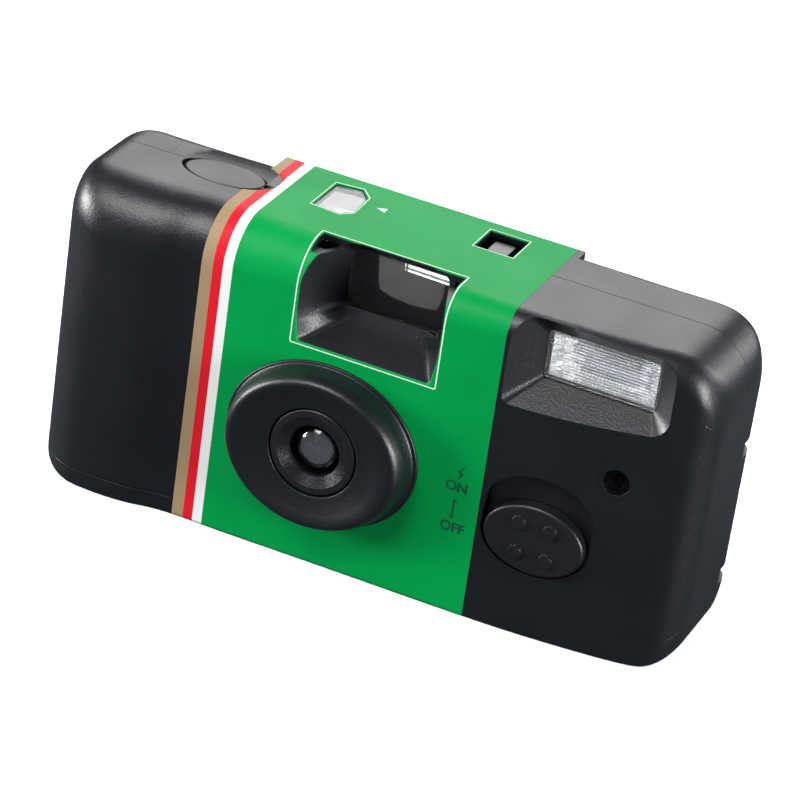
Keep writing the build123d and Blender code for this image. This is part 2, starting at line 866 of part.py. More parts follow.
with BuildPart() as film_strip:
    with BuildSketch(Plane.XY.offset(film_low)):
        with BuildLine():
            ThreePointArc(*film_face(0))
            Line(film_face(0)[-1], film_face(film_thickness)[-1])
            ThreePointArc(*film_face(film_thickness))
            Line(film_face(0)[0], film_face(film_thickness)[0])
        make_face()
    extrude(amount=film_width)
save(film_strip, "film_strip")

with BuildPart() as film_roll:
    add(disc_z(roll_x, roll_y, roll_outer, film_low, film_high))
    add(disc_z(roll_x, roll_y, roll_inner, film_low - overrun, film_high + overrun), mode=Mode.SUBTRACT)
save(film_roll, "film_roll")

with BuildPart() as sprocket:
    add(disc_z(sprocket_x, sprocket_y, sprocket_root, sprocket_low, sprocket_low + sprocket_depth))
    with BuildSketch(Plane.XY.offset(sprocket_low)):
        with Locations((sprocket_x, sprocket_y)):
            with PolarLocations(sprocket_root - slip, sprocket_teeth):
                Trapezoid(2 * sprocket_shaft, 2 * (sprocket_tip - sprocket_root), 60, rotation=-90)
    extrude(amount=sprocket_depth)
    add([
        disc_z(sprocket_x, sprocket_y, sprocket_shaft, sprocket_low, sprocket_top),
        disc_z(sprocket_x, sprocket_y, sprocket_cam, cam_low, cam_low + cam_depth),
        block((sprocket_x, sprocket_y - counter_tooth, counter_low),
              (sprocket_x + counter_tooth_reach, sprocket_y + counter_tooth, sprocket_top)),
    ])
    add(block(
        (sprocket_x + sprocket_shaft, sprocket_y, cam_low - slip),
        (sprocket_x + 2 * sprocket_cam, sprocket_y + sprocket_cam, cam_low + 2 * cam_depth)), mode=Mode.SUBTRACT)
save(sprocket, "sprocket")

with BuildPart() as counter_dial:
    add(disc_z(counter_x, counter_y, counter_radius, counter_low, counter_low + counter_depth))
    with BuildSketch(Plane.XY.offset(counter_low)):
        with Locations((counter_x, counter_y)):
            with PolarLocations(counter_radius, counter_teeth):
                Rectangle(counter_tooth, counter_tooth)
    extrude(amount=counter_depth, mode=Mode.SUBTRACT)
    add(disc_z(counter_x, counter_y, counter_post + slip, counter_low - overrun, counter_low + overrun),
        mode=Mode.SUBTRACT)
save(counter_dial, "counter_dial")

with BuildPart() as wheel_pawl:
    reach = math.hypot(pawl_pivot[0] - cartridge_x, pawl_pivot[1] - cartridge_y) - wheel_radius - clearance
    aim = math.degrees(math.atan2(cartridge_y - pawl_pivot[1], cartridge_x - pawl_pivot[0]))
    with BuildSketch(Plane.XY.offset(pawl_low)):
        with Locations(pawl_pivot):
            Circle(pawl_radius)
            with Locations(Location((0, 0, 0), (0, 0, aim))):
                with Locations((reach / 2, 0)):
                    Rectangle(reach, pawl_width)
    extrude(amount=pawl_depth)
    add(disc_z(pawl_pivot[0], pawl_pivot[1], pin_radius + slip, pawl_low - overrun, pawl_low + overrun),
        mode=Mode.SUBTRACT)
save(wheel_pawl, "wheel_pawl")

# Windows, finder lenses
with BuildPart() as counter_window:
    with BuildSketch(Plane.XY.offset(body_height - window_drop - window_depth)):
        with BuildLine():
            Polyline(*counter_window_points, close=True)
        make_face()
        offset(amount=-slip)
    extrude(amount=window_depth)
save(counter_window, "counter_window")

with BuildPart() as viewfinder_front_lens:
    add(block(
        (throat_left - clearance + slip, well_back + slip, throat_low - clearance + slip),
        (throat_right + clearance - slip, well_back + finder_lens_depth, throat_high - tube_wall)))
save(viewfinder_front_lens, "viewfinder_front_lens")

with BuildPart() as eyepiece_lens:
    add(block(
        (eyepiece_x - eyepiece_width / 2 + slip, pad_face - eyepiece_depth - wall,
         eyepiece_z - eyepiece_height / 2 + slip),
        (eyepiece_x + eyepiece_width / 2 - slip, pad_face - eyepiece_depth,
         eyepiece_z + eyepiece_height / 2 - slip)))
save(eyepiece_lens, "eyepiece_lens")

# Taking lens and its holders
with BuildPart() as lens_ring:
    add(disc_y(lens_x, lens_z, ring_radius, ring_front, ring_front + ring_depth))
    add(disc_y(lens_x, lens_z, ring_hole, ring_front - overrun, ring_front + overrun), mode=Mode.SUBTRACT)
    for radius in groove_radii:
        with BuildSketch(Plane.XZ.offset(-ring_front)):
            with Locations((lens_x, lens_z)):
                Circle(radius + groove_width / 2)
                Circle(radius - groove_width / 2, mode=Mode.SUBTRACT)
        extrude(amount=-groove_depth, mode=Mode.SUBTRACT)
save(lens_ring, "lens_ring")

with BuildPart() as lens_holder:
    add(disc_y(lens_x, lens_z, holder_radius, ring_front + ring_depth, bulkhead_face - plate_gap - plate_depth))
    add([
        disc_y(lens_x, lens_z, ring_hole + slip, ring_front, ring_front + ring_depth + dome_edge),
        disc_y(lens_x, lens_z, holder_bore, ring_front, bulkhead_face),
    ], mode=Mode.SUBTRACT)
save(lens_holder, "lens_holder")

dome_ball = (dome_radius ** 2 + dome_rise ** 2) / (2 * dome_rise)
with BuildPart() as taking_lens:
    with BuildSketch(Plane.XY.offset(lens_z)):
        with BuildLine():
            RadiusArc((lens_x, dome_front), (lens_x + dome_radius, dome_front + dome_rise), dome_ball)
            Polyline(
                (lens_x + dome_radius, dome_front + dome_rise),
                (lens_x + ring_hole, dome_front + dome_rise),
                (lens_x + ring_hole, ring_front + ring_depth + dome_edge),
                (lens_x, ring_front + ring_depth + dome_edge), (lens_x, dome_front))
        make_face()
    revolve(axis=Axis((lens_x, 0, lens_z), (0, 1, 0)))
save(taking_lens, "taking_lens")

# Shutter
plate_front = bulkhead_face - plate_gap - plate_depth
with BuildPart() as shutter_plate:
    with BuildSketch(Plane.XZ.offset(-plate_front - plate_depth)):
        with Locations((lens_x, lens_z)):
            RectangleRounded(2 * plate_half, 2 * plate_half, pin_radius)
            Circle(aperture_radius, mode=Mode.SUBTRACT)
        with Locations(blade_pivot):
            Circle(hub_radius + clearance)
    extrude(amount=plate_depth)
    add(disc_y(blade_pivot[0], blade_pivot[1], pin_radius, plate_front, bulkhead_face))
    for corner in ((lens_x + plate_half - pin_radius, lens_z - plate_half + pin_radius),
                   (lens_x - plate_half + pin_radius, lens_z - plate_half + pin_radius)):
        add(disc_y(corner[0], corner[1], pin_radius, plate_front, bulkhead_face))
save(shutter_plate, "shutter_plate")

blade_back = bulkhead_face - blade_gap
with BuildPart() as shutter_blade:
    blade_run = math.hypot(lens_x - blade_pivot[0], lens_z - blade_pivot[1])
    blade_angle = math.degrees(math.atan2(lens_z - blade_pivot[1], lens_x - blade_pivot[0]))
    with BuildSketch(Plane.XZ.offset(-blade_back)):
        with Locations(blade_pivot):
            Circle(hub_radius)
            with Locations(Location((0, 0, 0), (0, 0, blade_angle))):
                with Locations((blade_run / 2, 0)):
                    Rectangle(blade_run, blade_width)
        with Locations((lens_x, lens_z)):
            Circle(blade_radius)
        with Locations(blade_pivot):
            Circle(pin_radius + slip, mode=Mode.SUBTRACT)
    extrude(amount=blade_depth)
save(shutter_blade, "shutter_blade")

with BuildPart() as striker:
    with BuildSketch(Plane.XZ.offset(-striker_front - striker_depth)):
        with Locations(striker_pivot):
            Circle(hub_radius)
            with Locations(Location((0, 0, 0), (0, 0, -90))):
                with Locations((striker_arm / 2, 0)):
                    Rectangle(striker_arm, striker_width)
            with Locations((striker_tail / 2, 0)):
                Rectangle(striker_tail, striker_width)
            Circle(pin_radius + slip, mode=Mode.SUBTRACT)
    extrude(amount=striker_depth)
save(striker, "striker")

with BuildPart() as striker_spring:
    with BuildSketch(Plane.XZ.offset(-bulkhead_face + clearance / 2)):
        with Locations(striker_pivot):
            Circle(pin_radius + spring_wire + slip)
            Circle(pin_radius + slip, mode=Mode.SUBTRACT)
        with Locations((striker_pivot[0] - spring_leg / 2 - pin_radius, striker_pivot[1])):
            Rectangle(spring_leg, spring_wire)
    extrude(amount=plate_gap - clearance)
save(striker_spring, "striker_spring")

with BuildPart() as blade_spring:
    with BuildSketch(Plane.XZ.offset(-plate_front)):
        with Locations(blade_pivot):
            Circle(pin_radius + spring_wire)
            Circle(pin_radius, mode=Mode.SUBTRACT)
        with Locations((blade_pivot[0] - spring_leg / 2 - pin_radius, blade_pivot[1])):
            Rectangle(spring_leg, spring_wire)
    extrude(amount=spring_wire)
save(blade_spring, "blade_spring")

with BuildPart() as release_lever:
    with BuildSketch(Plane.XZ.offset(-lever_y - lever_depth)):
        with Locations(lever_pivot):
            Circle(hub_radius - slip)
            with Locations((-lever_tail / 2, 0)):
                Rectangle(lever_tail, lever_height)
            Circle(pin_radius + slip, mode=Mode.SUBTRACT)
    extrude(amount=lever_depth)
save(release_lever, "release_lever")

# Shutter button
with BuildPart() as shutter_button:
    with BuildSketch(Plane.XY.offset(body_height - dish_depth - wall - button_flange - clearance / 2)):
        with Locations((button_x, button_y)):
            Ellipse(button_half_width + button_skirt, button_half_depth + button_skirt)
    extrude(amount=button_flange)
    with BuildSketch(Plane.XY.offset(body_height - dish_depth - wall - button_flange)):
        with Locations((button_x, button_y)):
            Ellipse(button_half_width, button_half_depth)
    extrude(amount=button_top - body_height + dish_depth + wall + button_flange)
    fillet(shutter_button.faces().sort_by(Axis.Z)[-1].edges(), button_round)
    # Stem that presses the release lever
    add(block(
        (press_left, button_y - press_depth, lever_pivot[1] + lever_height / 2 + press_gap),
        (press_right, button_y, body_height - dish_depth - wall - clearance)))
save(shutter_button, "shutter_button")

# Flash switch, slider and light guide
switch_front = front_face - switch_rise
switch_back = front_face + pocket_depth - clearance / 2
with BuildPart() as flash_switch:
    add(oval_y(switch_x, switch_z, switch_half_width, switch_half_height, switch_front, switch_back))
    fillet(flash_switch.faces().sort_by(Axis.Y)[0].edges(), switch_round)
    for across in (-bump_pitch / 2, bump_pitch / 2):
        for up in (-bump_pitch / 2, bump_pitch / 2):
            add(disc_y(switch_x + across, switch_z + up, bump_radius, switch_front - bump_rise, switch_front))
    add(block(
        (switch_x - stem_width / 2, switch_back, stem_low),
        (switch_x + stem_width / 2, pocket_floor + clearance, stem_high)))
save(flash_switch, "flash_switch")

slider_front = pocket_floor + clearance
slider_back = slider_front + slider_depth
guide_high = body_height - guide_drop
with BuildPart() as switch_slider:
    add([
        block((slider_arm_left, slider_front, switch_z - slider_plate_height / 2),
              (slider_plate_right, slider_back, switch_z + slider_plate_height / 2)),
        block((slider_arm_left, slider_front, switch_z - slider_plate_height / 2),
              (slider_arm_right, slider_back, slider_arm_top)),
        block((slider_arm_left, slider_front, slider_arm_top - slider_arm_height),
              (slider_arm_right, guide_y + guide_length / 2, slider_arm_top)),
        block((guide_x + guide_width / 2, guide_y - guide_length / 2, slider_arm_top - slider_arm_height),
              (slider_arm_right, guide_y + guide_length / 2, slider_arm_top)),
    ])
save(switch_slider, "switch_slider")

with BuildPart() as light_guide:
    add(block((guide_x - guide_width / 2, guide_y - guide_length / 2, guide_low),
              (guide_x + guide_width / 2, guide_y + guide_length / 2, guide_high)))
    fillet(light_guide.edges().filter_by(Axis.Z), clearance)
save(light_guide, "light_guide")

# Flash head
with BuildPart() as flash_diffuser:
    add(block((flash_left + slip, flash_back, flash_low + slip),
              (flash_right - slip, flash_back + diffuser_depth, flash_high - slip)))
    rib_pitch = (flash_high - flash_low) / diffuser_rib_count
    for row in range(1, diffuser_rib_count):
        add(block((flash_left + 2 * slip, flash_back - slip, flash_low + rib_pitch * (row - diffuser_rib)),
                  (flash_right - 2 * slip, flash_back + slip, flash_low + rib_pitch * (row + diffuser_rib))),
            mode=Mode.SUBTRACT)
save(flash_diffuser, "flash_diffuser")

head_front = flash_back + diffuser_depth
head_back = head_front + reflector_depth
tube_y = head_back - reflector_throat / 2 - reflector_wall
flash_z = (flash_low + flash_high) / 2
with BuildPart() as flash_reflector:
    add(funnel((flash_left, flash_right, flash_low, flash_high, head_front),
               (flash_left, flash_right, flash_z - reflector_throat / 2 - reflector_wall,
                flash_z + reflector_throat / 2 + reflector_wall, head_back), reflector_wall))
    add(funnel((flash_left + reflector_wall, flash_right - reflector_wall, flash_low + reflector_wall,
                flash_high - reflector_wall, head_front),
               (flash_left + reflector_wall, flash_right - reflector_wall, flash_z - reflector_throat / 2,
                flash_z + reflector_throat / 2, head_back - reflector_wall), reflector_wall / 2),
        mode=Mode.SUBTRACT)
    with BuildSketch(Plane.YZ.offset(flash_left - overrun)):
        with Locations((tube_y, flash_z)):
            Circle(tube_radius + slip)
    extrude(amount=flash_right - flash_left + 2 * overrun, mode=Mode.SUBTRACT)
save(flash_reflector, "flash_reflector")

with BuildPart() as xenon_tube:
    for radius, reach in ((tube_radius, tube_overhang), (electrode_radius, tube_overhang + electrode_length)):
        with BuildSketch(Plane.YZ.offset(flash_left - reach)):
            with Locations((tube_y, flash_z)):
                Circle(radius)
        extrude(amount=flash_right - flash_left + 2 * reach)
save(xenon_tube, "xenon_tube")

# Board and what is on it
board_back = board_face + board_depth
with BuildPart() as flash_board:
    add(block((board_left, board_face, board_low), (board_right, board_back, board_high)))
save(flash_board, "flash_board")

capacitor_y = board_back + capacitor_radius + slip
transformer_y = board_back + slip + transformer_depth / 2
with BuildPart() as main_capacitor:
    add(disc_z(capacitor_x, capacitor_y, capacitor_radius, capacitor_low, capacitor_low + capacitor_length))
    fillet(main_capacitor.edges().group_by(Axis.Z)[-1], capacitor_round)
save(main_capacitor, "main_capacitor")

with BuildPart() as transformer:
    for low, high, margin in (
            (transformer_low, transformer_low + transformer_flange, 0),
            (transformer_low, transformer_low + transformer_height, transformer_flange),
            (transformer_low + transformer_height - transformer_flange, transformer_low + transformer_height, 0)):
        add(block(
            (transformer_x - transformer_width / 2 + margin, transformer_y - transformer_depth / 2 + margin, low),
            (transformer_x + transformer_width / 2 - margin, transformer_y + transformer_depth / 2 - margin, high)))
save(transformer, "transformer")

with BuildPart() as trigger_coil:
    with BuildSketch(Plane.YZ.offset(coil_left)):
        with Locations((head_back + slip + coil_radius, flash_z)):
            Circle(coil_radius)
    extrude(amount=coil_length)
save(trigger_coil, "trigger_coil")

with BuildPart() as ready_lamp:
    add(disc_z(guide_x, guide_y, lamp_radius, guide_low - lamp_length - clearance, guide_low - clearance))
    fillet(ready_lamp.faces().sort_by(Axis.Z)[-1].edges(), lamp_radius / 2)
save(ready_lamp, "ready_lamp")

with BuildPart() as switch_contact:
    add(block((switch_x - leaf_length / 2, board_face - leaf_depth, board_low + leaf_width),
              (switch_x + leaf_length / 2, board_face, board_low + 2 * leaf_width)))
save(switch_contact, "switch_contact")

# Battery and its contacts
battery_right = battery_left + battery_length
with BuildPart() as battery:
    for start, end, radius in (
            (battery_left, battery_right, battery_radius),
            (battery_right, battery_right + battery_nub, battery_nub_radius)):
        with BuildSketch(Plane.YZ.offset(start)):
            with Locations((battery_y, battery_z)):
                Circle(radius)
        extrude(amount=end - start)
save(battery, "battery")

for name, start in (
        ("battery_contact_negative", battery_left - contact_depth),
        ("battery_contact_positive", battery_right + battery_nub)):
    with BuildPart() as contact:
        add(block((start, battery_y - contact_width / 2, battery_z - contact_height / 2),
                  (start + contact_depth, battery_y + contact_width / 2, battery_z + contact_height / 2)))
    save(contact, name)
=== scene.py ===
"""Looks of a single-use film camera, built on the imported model's frame.

Each sub-assembly is a class that builds or copies its pieces, gives them their finishes and ties
them to the bodies of the frame. Lengths are millimetres until they become vertices, in metres.
"""
from __future__ import annotations

import json
import logging
import math
from abc import ABC, abstractmethod
from dataclasses import dataclass
from enum import Enum
from typing import Callable, Sequence

import bmesh
import bpy
import numpy as np
from mathutils import Matrix, Vector

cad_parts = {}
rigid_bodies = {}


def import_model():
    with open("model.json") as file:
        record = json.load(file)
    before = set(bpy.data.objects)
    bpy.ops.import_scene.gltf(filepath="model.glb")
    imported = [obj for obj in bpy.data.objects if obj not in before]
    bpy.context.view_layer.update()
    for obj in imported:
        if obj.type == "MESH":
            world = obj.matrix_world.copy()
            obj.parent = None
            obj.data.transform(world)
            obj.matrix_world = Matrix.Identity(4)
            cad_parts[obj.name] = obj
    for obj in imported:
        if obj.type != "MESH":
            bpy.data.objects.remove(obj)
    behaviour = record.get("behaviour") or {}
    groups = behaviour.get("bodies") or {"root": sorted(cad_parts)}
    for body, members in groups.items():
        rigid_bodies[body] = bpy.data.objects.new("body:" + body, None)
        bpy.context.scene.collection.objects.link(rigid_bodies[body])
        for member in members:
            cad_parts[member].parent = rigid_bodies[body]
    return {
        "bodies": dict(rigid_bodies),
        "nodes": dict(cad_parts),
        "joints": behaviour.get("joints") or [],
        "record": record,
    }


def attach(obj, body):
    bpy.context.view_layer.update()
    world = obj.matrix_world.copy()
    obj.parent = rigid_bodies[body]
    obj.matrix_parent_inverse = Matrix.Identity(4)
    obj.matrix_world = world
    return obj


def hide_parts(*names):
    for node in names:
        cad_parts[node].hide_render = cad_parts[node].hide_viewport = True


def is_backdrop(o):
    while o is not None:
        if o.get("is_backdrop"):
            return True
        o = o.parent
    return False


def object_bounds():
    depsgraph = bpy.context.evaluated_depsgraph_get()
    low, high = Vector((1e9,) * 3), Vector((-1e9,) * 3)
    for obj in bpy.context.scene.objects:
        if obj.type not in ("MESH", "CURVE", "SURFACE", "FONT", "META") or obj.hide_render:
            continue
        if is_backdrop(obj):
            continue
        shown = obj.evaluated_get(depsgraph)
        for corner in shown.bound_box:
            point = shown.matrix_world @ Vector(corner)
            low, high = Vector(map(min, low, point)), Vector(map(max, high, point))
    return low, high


LOG = logging.getLogger("film_camera")
MM = 0.001
Socket = bpy.types.NodeSocket
Pair = tuple[float, float]
Triple = tuple[float, float, float]
Colour = Triple
WHITE: Colour = (1.0, 1.0, 1.0)
LENS_AXIS: Pair = (-5.6, 21.9)


class Effect(Enum):
    """Names of the shared shader node groups."""

    GRAIN = "moulded_grain"
    WEAR = "edge_wear"
    BLOTCH = "slow_variation"
    DUST = "dust_specks"
    BRUSH = "drawn_metal"
    OUTLINE = "box_outline"


class Tree:
    """Short calls that add nodes to one node tree."""

    # The Mix node's sockets for colours: the factor and the two colours, and the result.
    MIX_INPUTS = (0, 6, 7)
    MIX_RESULT = 2

    def __init__(self, tree: bpy.types.NodeTree) -> None:
        """Keeps the node tree that the calls add to."""
        self.tree = tree

    @classmethod
    def emptied(cls, owner: bpy.types.Material | bpy.types.World) -> Tree:
        """Args:
            owner: a material or a world.

        Returns:
            Its node tree, without the nodes that it starts with.
        """
        owner.use_nodes = True
        owner.node_tree.nodes.clear()
        return cls(owner.node_tree)

    def add(self, kind: str, **settings: object) -> bpy.types.Node:
        """Args:
            kind: Blender's name of the node type.
            settings: attributes to set on it.

        Returns:
            The new node.
        """
        node = self.tree.nodes.new(kind)
        for name, value in settings.items():
            setattr(node, name, value)
        return node

    def feed(self, socket: Socket, value: object) -> None:
        """Args:
            socket: an input socket.
            value: a socket to link, or a constant to set directly.
        """
        if isinstance(value, bpy.types.NodeSocket):
            self.tree.links.new(value, socket)
        elif isinstance(value, tuple) and len(value) == 3 and socket.type == "RGBA":
            socket.default_value = (*value, 1.0)
        else:
            socket.default_value = value

    def fill(self, node: bpy.types.Node, values: dict[str, object]) -> None:
        """Feeds the inputs of a node that the values name."""
        for name, value in values.items():
            self.feed(node.inputs[name], value)

    def math(self, operation: str, *values: object) -> Socket:
        """Args:
            operation: Blender's name of the operation.
            values: sockets or numbers.

        Returns:
            The result's socket.
        """
        node = self.add("ShaderNodeMath", operation=operation)
        for socket, value in zip(node.inputs, values):
            self.feed(socket, value)
        return node.outputs[0]

    def vector(self, operation: str, *values: object) -> Socket:
        """Args:
            operation: Blender's name of the vector operation.
            values: sockets or triples.

        Returns:
            The vector result, or the value of a length or a dot product.
        """
        node = self.add("ShaderNodeVectorMath", operation=operation)
        for socket, value in zip(node.inputs, values):
            self.feed(socket, value)
        return node.outputs["Value" if operation in ("LENGTH", "DOT_PRODUCT") else "Vector"]

    def divided(self, place: Socket, length: Socket) -> Socket:
        """Args:
            place: a vector.
            length: what to divide it by.

        Returns:
            The vector over the length.
        """
        node = self.vector("SCALE", place).node
        self.feed(node.inputs["Scale"], self.math("DIVIDE", 1.0, length))
        return node.outputs["Vector"]

    def split(self, place: Socket) -> bpy.types.bpy_prop_collection:
        """Args:
            place: a vector.

        Returns:
            The sockets of its X, Y and Z.
        """
        node = self.add("ShaderNodeSeparateXYZ")
        self.feed(node.inputs[0], place)
        return node.outputs

    def blend(self, factor: object, first: object, second: object) -> Socket:
        """Args:
            factor: share of the second colour.
            first: a colour or its socket.
            second: a colour or its socket.

        Returns:
            The mixed colour's socket.
        """
        node = self.add("ShaderNodeMix", data_type="RGBA")
        for number, value in zip(self.MIX_INPUTS, (factor, first, second)):
            self.feed(node.inputs[number], value)
        return node.outputs[self.MIX_RESULT]

    def ramp(self, value: object, low: float, high: float) -> Socket:
        """Args:
            value: the socket to spread.
            low: the value that gives nothing.
            high: the value that gives one.

        Returns:
            The clamped share.
        """
        node = self.add("ShaderNodeMapRange")
        self.fill(node, {"Value": value, "From Min": low, "From Max": high})
        return node.outputs[0]

    def place(self) -> Socket:
        """Object coordinates in millimetres."""
        coordinates = self.add("ShaderNodeTexCoord")
        return self.vector("MULTIPLY", coordinates.outputs["Object"], (1 / MM,) * 3)

    def noise(self, where: Socket, rate: float = 1.0, detail: float = 2.0) -> Socket:
        """Args:
            where: the place to read.
            rate: lumps for each unit of the place.
            detail: how many finer layers are added.

        Returns:
            The noise value.
        """
        node = self.add("ShaderNodeTexNoise")
        self.fill(node, {"Vector": where, "Scale": rate, "Detail": detail})
        return node.outputs[0]

    def seen(self) -> Socket:
        """One for rays from the camera and through clear pieces, and nothing for the rest."""
        path = self.add("ShaderNodeLightPath")
        return self.math("MAXIMUM", path.outputs["Is Camera Ray"], path.outputs["Is Transmission Ray"])


class EffectGroups:
    """The shared effects as node groups, each made once."""

    # A rate is lumps for each unit of the place that a noise reads, a detail is its finer layers,
    # and a pair is the limits of a ramp.
    GRAIN_FINE_DETAIL = 3.0
    GRAIN_SOFT_DETAIL = 1.0
    GRAIN_SOFT_RATE = 0.35
    GRAIN_FINE_SHARE = 0.7
    GRAIN_SOFT_SHARE = 0.3
    WEAR_SAMPLES = 4
    WEAR_APART = (0.02, 0.3)
    WEAR_RATE = 0.9
    WEAR_DETAIL = 3.0
    WEAR_BROKEN = (0.45, 0.7)
    BLOTCH_DETAIL = 4.0
    BLOTCH_SPREAD = (0.3, 0.7)
    DUST_RATE = 0.8
    DUST_RADIUS = 0.05
    DUST_AREA_RATE = 0.4
    DUST_AREA_DETAIL = 1.0
    DUST_AREA_SHARE = 4.0
    BRUSH_STRETCH: Triple = (0.06, 1.0, 1.0)

    def __init__(self) -> None:
        """Makes every group."""
        makers = {
            Effect.GRAIN: self._grain, Effect.WEAR: self._wear, Effect.BLOTCH: self._blotch,
            Effect.DUST: self._dust, Effect.BRUSH: self._brush, Effect.OUTLINE: self._outline}
        self.trees = {effect: maker(effect.value) for effect, maker in makers.items()}

    @staticmethod
    def _start(name: str, inputs: dict[str, str],
               outputs: dict[str, str]) -> tuple[Tree, dict[str, Socket], bpy.types.Node]:
        """Args:
            name: the group's name.
            inputs: socket name to its kind.
            outputs: socket name to its kind.

        Returns:
            The tree, its input sockets by name, and its output node.
        """
        group = bpy.data.node_groups.new(name, "ShaderNodeTree")
        for direction, sockets in (("INPUT", inputs), ("OUTPUT", outputs)):
            for label, kind in sockets.items():
                group.interface.new_socket(label, in_out=direction, socket_type="NodeSocket" + kind)
        tree = Tree(group)
        source = tree.add("NodeGroupInput")
        target = tree.add("NodeGroupOutput")
        return tree, {label: source.outputs[label] for label in inputs}, target

    def _grain(self, name: str) -> bpy.types.NodeTree:
        """Spark-eroded mould grain: fine pits over soft lumps.

        Args:
            name: the group's name.

        Returns:
            The group with a Height.
        """
        tree, given, target = self._start(name, {"Place": "Vector", "Pitch": "Float"}, {"Height": "Float"})
        scaled = tree.divided(given["Place"], given["Pitch"])
        fine = tree.noise(scaled, detail=self.GRAIN_FINE_DETAIL)
        soft = tree.noise(scaled, self.GRAIN_SOFT_RATE, self.GRAIN_SOFT_DETAIL)
        tree.feed(target.inputs["Height"], tree.math(
            "ADD", tree.math("MULTIPLY", fine, self.GRAIN_FINE_SHARE),
            tree.math("MULTIPLY", soft, self.GRAIN_SOFT_SHARE)))
        return tree.tree

    def _wear(self, name: str) -> bpy.types.NodeTree:
        """Rubbed edges: where a rounded normal leaves the true one, broken up by noise.

        Args:
            name: the group's name.

        Returns:
            The group with a Mask and a Normal.
        """
        tree, given, target = self._start(
            name, {"Place": "Vector", "Radius": "Float"}, {"Mask": "Float", "Normal": "Vector"})
        rounded = tree.add("ShaderNodeBevel", samples=self.WEAR_SAMPLES)
        tree.feed(rounded.inputs["Radius"], tree.math("MULTIPLY", given["Radius"], MM))
        true = tree.add("ShaderNodeNewGeometry")
        same = tree.vector("DOT_PRODUCT", rounded.outputs[0], true.outputs["Normal"])
        apart = tree.ramp(tree.math("SUBTRACT", 1.0, same), *self.WEAR_APART)
        broken = tree.ramp(
            tree.noise(given["Place"], self.WEAR_RATE, self.WEAR_DETAIL), *self.WEAR_BROKEN)
        tree.fill(target, {"Mask": tree.math("MULTIPLY", apart, broken), "Normal": rounded.outputs[0]})
        return tree.tree

    def _blotch(self, name: str) -> bpy.types.NodeTree:
        """Slow change over a surface, from handling and moulding.

        Args:
            name: the group's name.

        Returns:
            The group with a Value.
        """
        tree, given, target = self._start(name, {"Place": "Vector", "Size": "Float"}, {"Value": "Float"})
        slow = tree.noise(tree.divided(given["Place"], given["Size"]), detail=self.BLOTCH_DETAIL)
        tree.feed(target.inputs["Value"], tree.ramp(slow, *self.BLOTCH_SPREAD))
        return tree.tree

    def _dust(self, name: str) -> bpy.types.NodeTree:
        """A few pale specks: small dots at the middles of cells, kept only in some areas.

        Args:
            name: the group's name.

        Returns:
            The group with a Mask.
        """
        tree, given, target = self._start(name, {"Place": "Vector", "Amount": "Float"}, {"Mask": "Float"})
        cells = tree.add("ShaderNodeTexVoronoi")
        tree.fill(cells, {"Vector": given["Place"], "Scale": self.DUST_RATE})
        area = tree.noise(given["Place"], self.DUST_AREA_RATE, self.DUST_AREA_DETAIL)
        kept = tree.math("LESS_THAN", area, tree.math("MULTIPLY", given["Amount"], self.DUST_AREA_SHARE))
        speck = tree.math("LESS_THAN", cells.outputs["Distance"], self.DUST_RADIUS)
        tree.feed(target.inputs["Mask"], tree.math("MULTIPLY", speck, kept))
        return tree.tree

    def _brush(self, name: str) -> bpy.types.NodeTree:
        """Drawn lines along X in sheet metal.

        Args:
            name: the group's name.

        Returns:
            The group with a Height.
        """
        tree, given, target = self._start(name, {"Place": "Vector", "Pitch": "Float"}, {"Height": "Float"})
        stretched = tree.vector("MULTIPLY", given["Place"], self.BRUSH_STRETCH)
        tree.feed(target.inputs["Height"], tree.noise(tree.divided(stretched, given["Pitch"])))
        return tree.tree

    def _outline(self, name: str) -> bpy.types.NodeTree:
        """A line of even width round a box that cuts the surface.

        Args:
            name: the group's name.

        Returns:
            The group with a Mask.
        """
        tree, given, target = self._start(
            name, {"Place": "Vector", "Middle": "Vector", "Half": "Vector", "Gap": "Float",
                   "Width": "Float"}, {"Mask": "Float"})
        away = tree.vector("ABSOLUTE", tree.vector("SUBTRACT", given["Place"], given["Middle"]))
        beyond = tree.vector("MAXIMUM", tree.vector("SUBTRACT", away, given["Half"]), (0.0, 0.0, 0.0))
        distance = tree.vector("LENGTH", beyond)
        outer = tree.math("LESS_THAN", distance, tree.math("ADD", given["Gap"], given["Width"]))
        inner = tree.math("GREATER_THAN", distance, given["Gap"])
        tree.feed(target.inputs["Mask"], tree.math("MULTIPLY", outer, inner))
        return tree.tree

    def use(self, tree: Tree, effect: Effect, **values: object) -> bpy.types.Node:
        """Args:
            tree: the material's tree.
            effect: which group to place.
            values: its inputs, by name.

        Returns:
            The placed group node.
        """
        node = tree.add("ShaderNodeGroup", node_tree=self.trees[effect])
        tree.fill(node, values)
        return node


def shaded(colour: Colour, share: float) -> Colour:
    """The colour darkened to a share of itself."""
    return tuple(share * part for part in colour)


